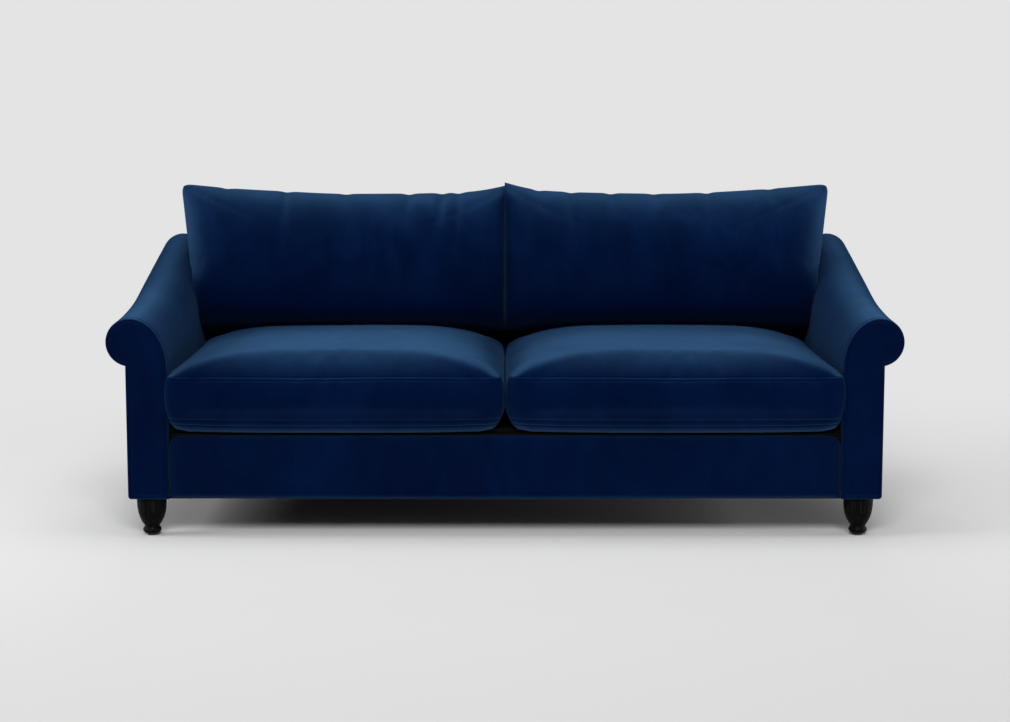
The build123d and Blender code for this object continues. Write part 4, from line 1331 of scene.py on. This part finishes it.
# %% Turned legs
LEG_STEPS = 48
LEG_OUTLINE = (
    (0.0000, 0.0040), (0.0150, 0.0040), (0.0178, 0.0052), (0.0208, 0.0078), (0.0230, 0.0112),
    (0.0236, 0.0142), (0.0229, 0.0174), (0.0212, 0.0204), (0.0191, 0.0226), (0.0186, 0.0240),
    (0.0196, 0.0258), (0.0232, 0.0308), (0.0275, 0.0382), (0.0315, 0.0470), (0.0346, 0.0570),
    (0.0365, 0.0680), (0.0375, 0.0790), (0.0378, 0.0880), (0.0376, 0.0960), (0.0374, 0.1000),
    (0.0000, 0.1000),
)


def turned_leg(x, y):
    mesh = bmesh.new()
    verts = [mesh.verts.new((x + r, y, z)) for r, z in LEG_OUTLINE]
    edges = [mesh.edges.new(pair) for pair in zip(verts, verts[1:])]
    bmesh.ops.spin(
        mesh, geom=verts + edges, cent=(x, y, 0), axis=(0, 0, 1), angle=2 * math.pi, steps=LEG_STEPS,
        use_merge=True,
    )
    turn_out(mesh)
    return mesh


for node in ("leg_front_left", "leg_front_right", "leg_rear_left", "leg_rear_right"):
    low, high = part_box(node)
    mesh = turned_leg((low[0] + high[0]) / 2, (low[1] + high[1]) / 2)
    place(mesh, node.replace("leg", "turned_leg"), leg_wood, "frame", "leg_wood", (node,), subdivide=1)

# %% [markdown]
# ## Floor and backdrop
#
# The sofa stands on a pale round floor. Far from the sofa the floor turns, for the camera, mirrors and
# glass alone, into the same even grey as the world, so no horizon shows from any side. A sheet of paper
# curved up into a wall would do it from the front, but it stands in the way of a view from behind. The
# floor near the sofa is plain, so that it keeps the shadow.

# %% Floor
FLOOR_TONE = 0.69
NEAR_TONE = 0.545
NEAR_START, NEAR_END = 0.4, 2.4
BACKDROP = 0.775
FLOOR_RADIUS = 16.0
FLOOR_SIDES = 96
FADE_CENTRE = (0.0, -1.4, 0.0)
FADE_START, FADE_END = 1.5, 4.0


def seen(nodes):
    """1 where a ray comes from the camera or through a mirror or glass, and 0 for plain light."""
    path = nodes.add("ShaderNodeLightPath")
    rays = [Number(nodes, path.outputs[f"Is {kind} Ray"]) for kind in ("Camera", "Glossy", "Transmission")]
    return rays[0].math("MAXIMUM", rays[1]).math("MAXIMUM", rays[2])


def pale_floor():
    mesh = bmesh.new()
    bmesh.ops.create_circle(mesh, cap_ends=True, segments=FLOOR_SIDES, radius=FLOOR_RADIUS)
    data = bpy.data.meshes.new("pale_floor")
    mesh.to_mesh(data)
    mesh.free()
    floor = bpy.data.objects.new("pale_floor", data)
    scene.collection.objects.link(floor)
    paper = Finish("pale_paper")
    depth = paper.number("ShaderNodeSeparateXYZ", inputs={0: paper.place}, output=Y)
    inputs = {0: paper.place, 1: FADE_CENTRE}
    away = paper.number("ShaderNodeVectorMath", {"operation": "DISTANCE"}, inputs, output="Value")
    near = paper.ramp(0 - depth, NEAR_START, NEAR_END)
    paper.set(
        Base_Color=paper.mix(near, grey(FLOOR_TONE), grey(NEAR_TONE)),
        Roughness=0.9,
        Specular_IOR_Level=0.0,
    )
    glow = paper.add("ShaderNodeEmission", inputs={"Color": grey(BACKDROP)})
    faded = paper.ramp(away, FADE_START, FADE_END) * seen(paper)
    inputs = {0: faded, 1: paper.shader.outputs[0], 2: glow.outputs[0]}
    blend = paper.add("ShaderNodeMixShader", inputs=inputs)
    paper.put(paper.tree.nodes["Material Output"].inputs["Surface"], blend.outputs[0])
    data.materials.append(paper.material)


pale_floor()
print("floor", 2 * FLOOR_RADIUS, "across, plain for", FADE_START, "round the sofa")

# %% [markdown]
# ## Lamps and air
#
# Velvet shows its form only under wide soft light. A large lamp hangs in front and above, one overhead
# lifts the seat, one at each side draws the arms' rolls, and a weaker one behind keeps the rear from
# going black. The world adds a little even light, and is brighter only where it is seen.

# %% Lamps and world
AIR = 0.18


def lamp(name, place, target, size, watts):
    light = bpy.data.lights.new(name, "AREA")
    light.shape = "RECTANGLE"
    light.size, light.size_y = size
    light.energy = watts
    holder = bpy.data.objects.new(name, light)
    holder.location = place
    holder.rotation_euler = (Vector(target) - Vector(place)).to_track_quat("-Z", "Y").to_euler()
    scene.collection.objects.link(holder)
    print(name, watts, "W")


lamp("soft_key", place=(0.0, -7.4, 5.3), target=(0, -0.2, 0.3), size=(4.4, 2.6), watts=562)
lamp("soft_top", place=(0.0, -0.4, 5.6), target=(0, -0.3, 0.2), size=(4.6, 3.2), watts=88)
lamp("soft_left", place=(-7.0, -1.4, 2.8), target=(-0.6, -0.1, 0.2), size=(3.8, 2.2), watts=280)
lamp("soft_right", place=(7.0, -0.9, 1.2), target=(0.6, -0.1, 0.1), size=(3.8, 1.4), watts=190)
lamp("soft_back", place=(0.0, 7.0, 3.6), target=(0, 0.4, 0.4), size=(4.4, 2.4), watts=170)

world = bpy.data.worlds.new("studio_air")
scene.world = world
world.use_nodes = True
background = world.node_tree.nodes["Background"]
background.inputs["Color"].default_value = grey(1)
sky = Nodes(world.node_tree)
sky.put(background.inputs["Strength"], seen(sky) * (BACKDROP - AIR) + AIR)

# %% [markdown]
# ## Camera
#
# The picture is taken from straight in front with a long lens, a little above the arms and looking
# down, so the seat shows as a narrow band and upright edges stay almost parallel.

# %% Camera
SENSOR = 36.0
FOCAL_PIXELS = 2096
PICTURE_WIDTH = 1010
CAMERA_PLACE = (0.0, -5.655, 1.133)
CAMERA_PITCH = math.radians(7.45)
camera = bpy.data.cameras.new("camera")
camera.lens = SENSOR * FOCAL_PIXELS / PICTURE_WIDTH
camera.sensor_width = SENSOR
camera.sensor_fit = "HORIZONTAL"
viewer = bpy.data.objects.new("camera", camera)
viewer.location = CAMERA_PLACE
viewer.rotation_euler = (math.pi / 2 - CAMERA_PITCH, 0, 0)
scene.collection.objects.link(viewer)
scene.camera = viewer
scene.view_settings.view_transform = "Standard"
print("lens", round(camera.lens, 1), "mm at", CAMERA_PLACE)
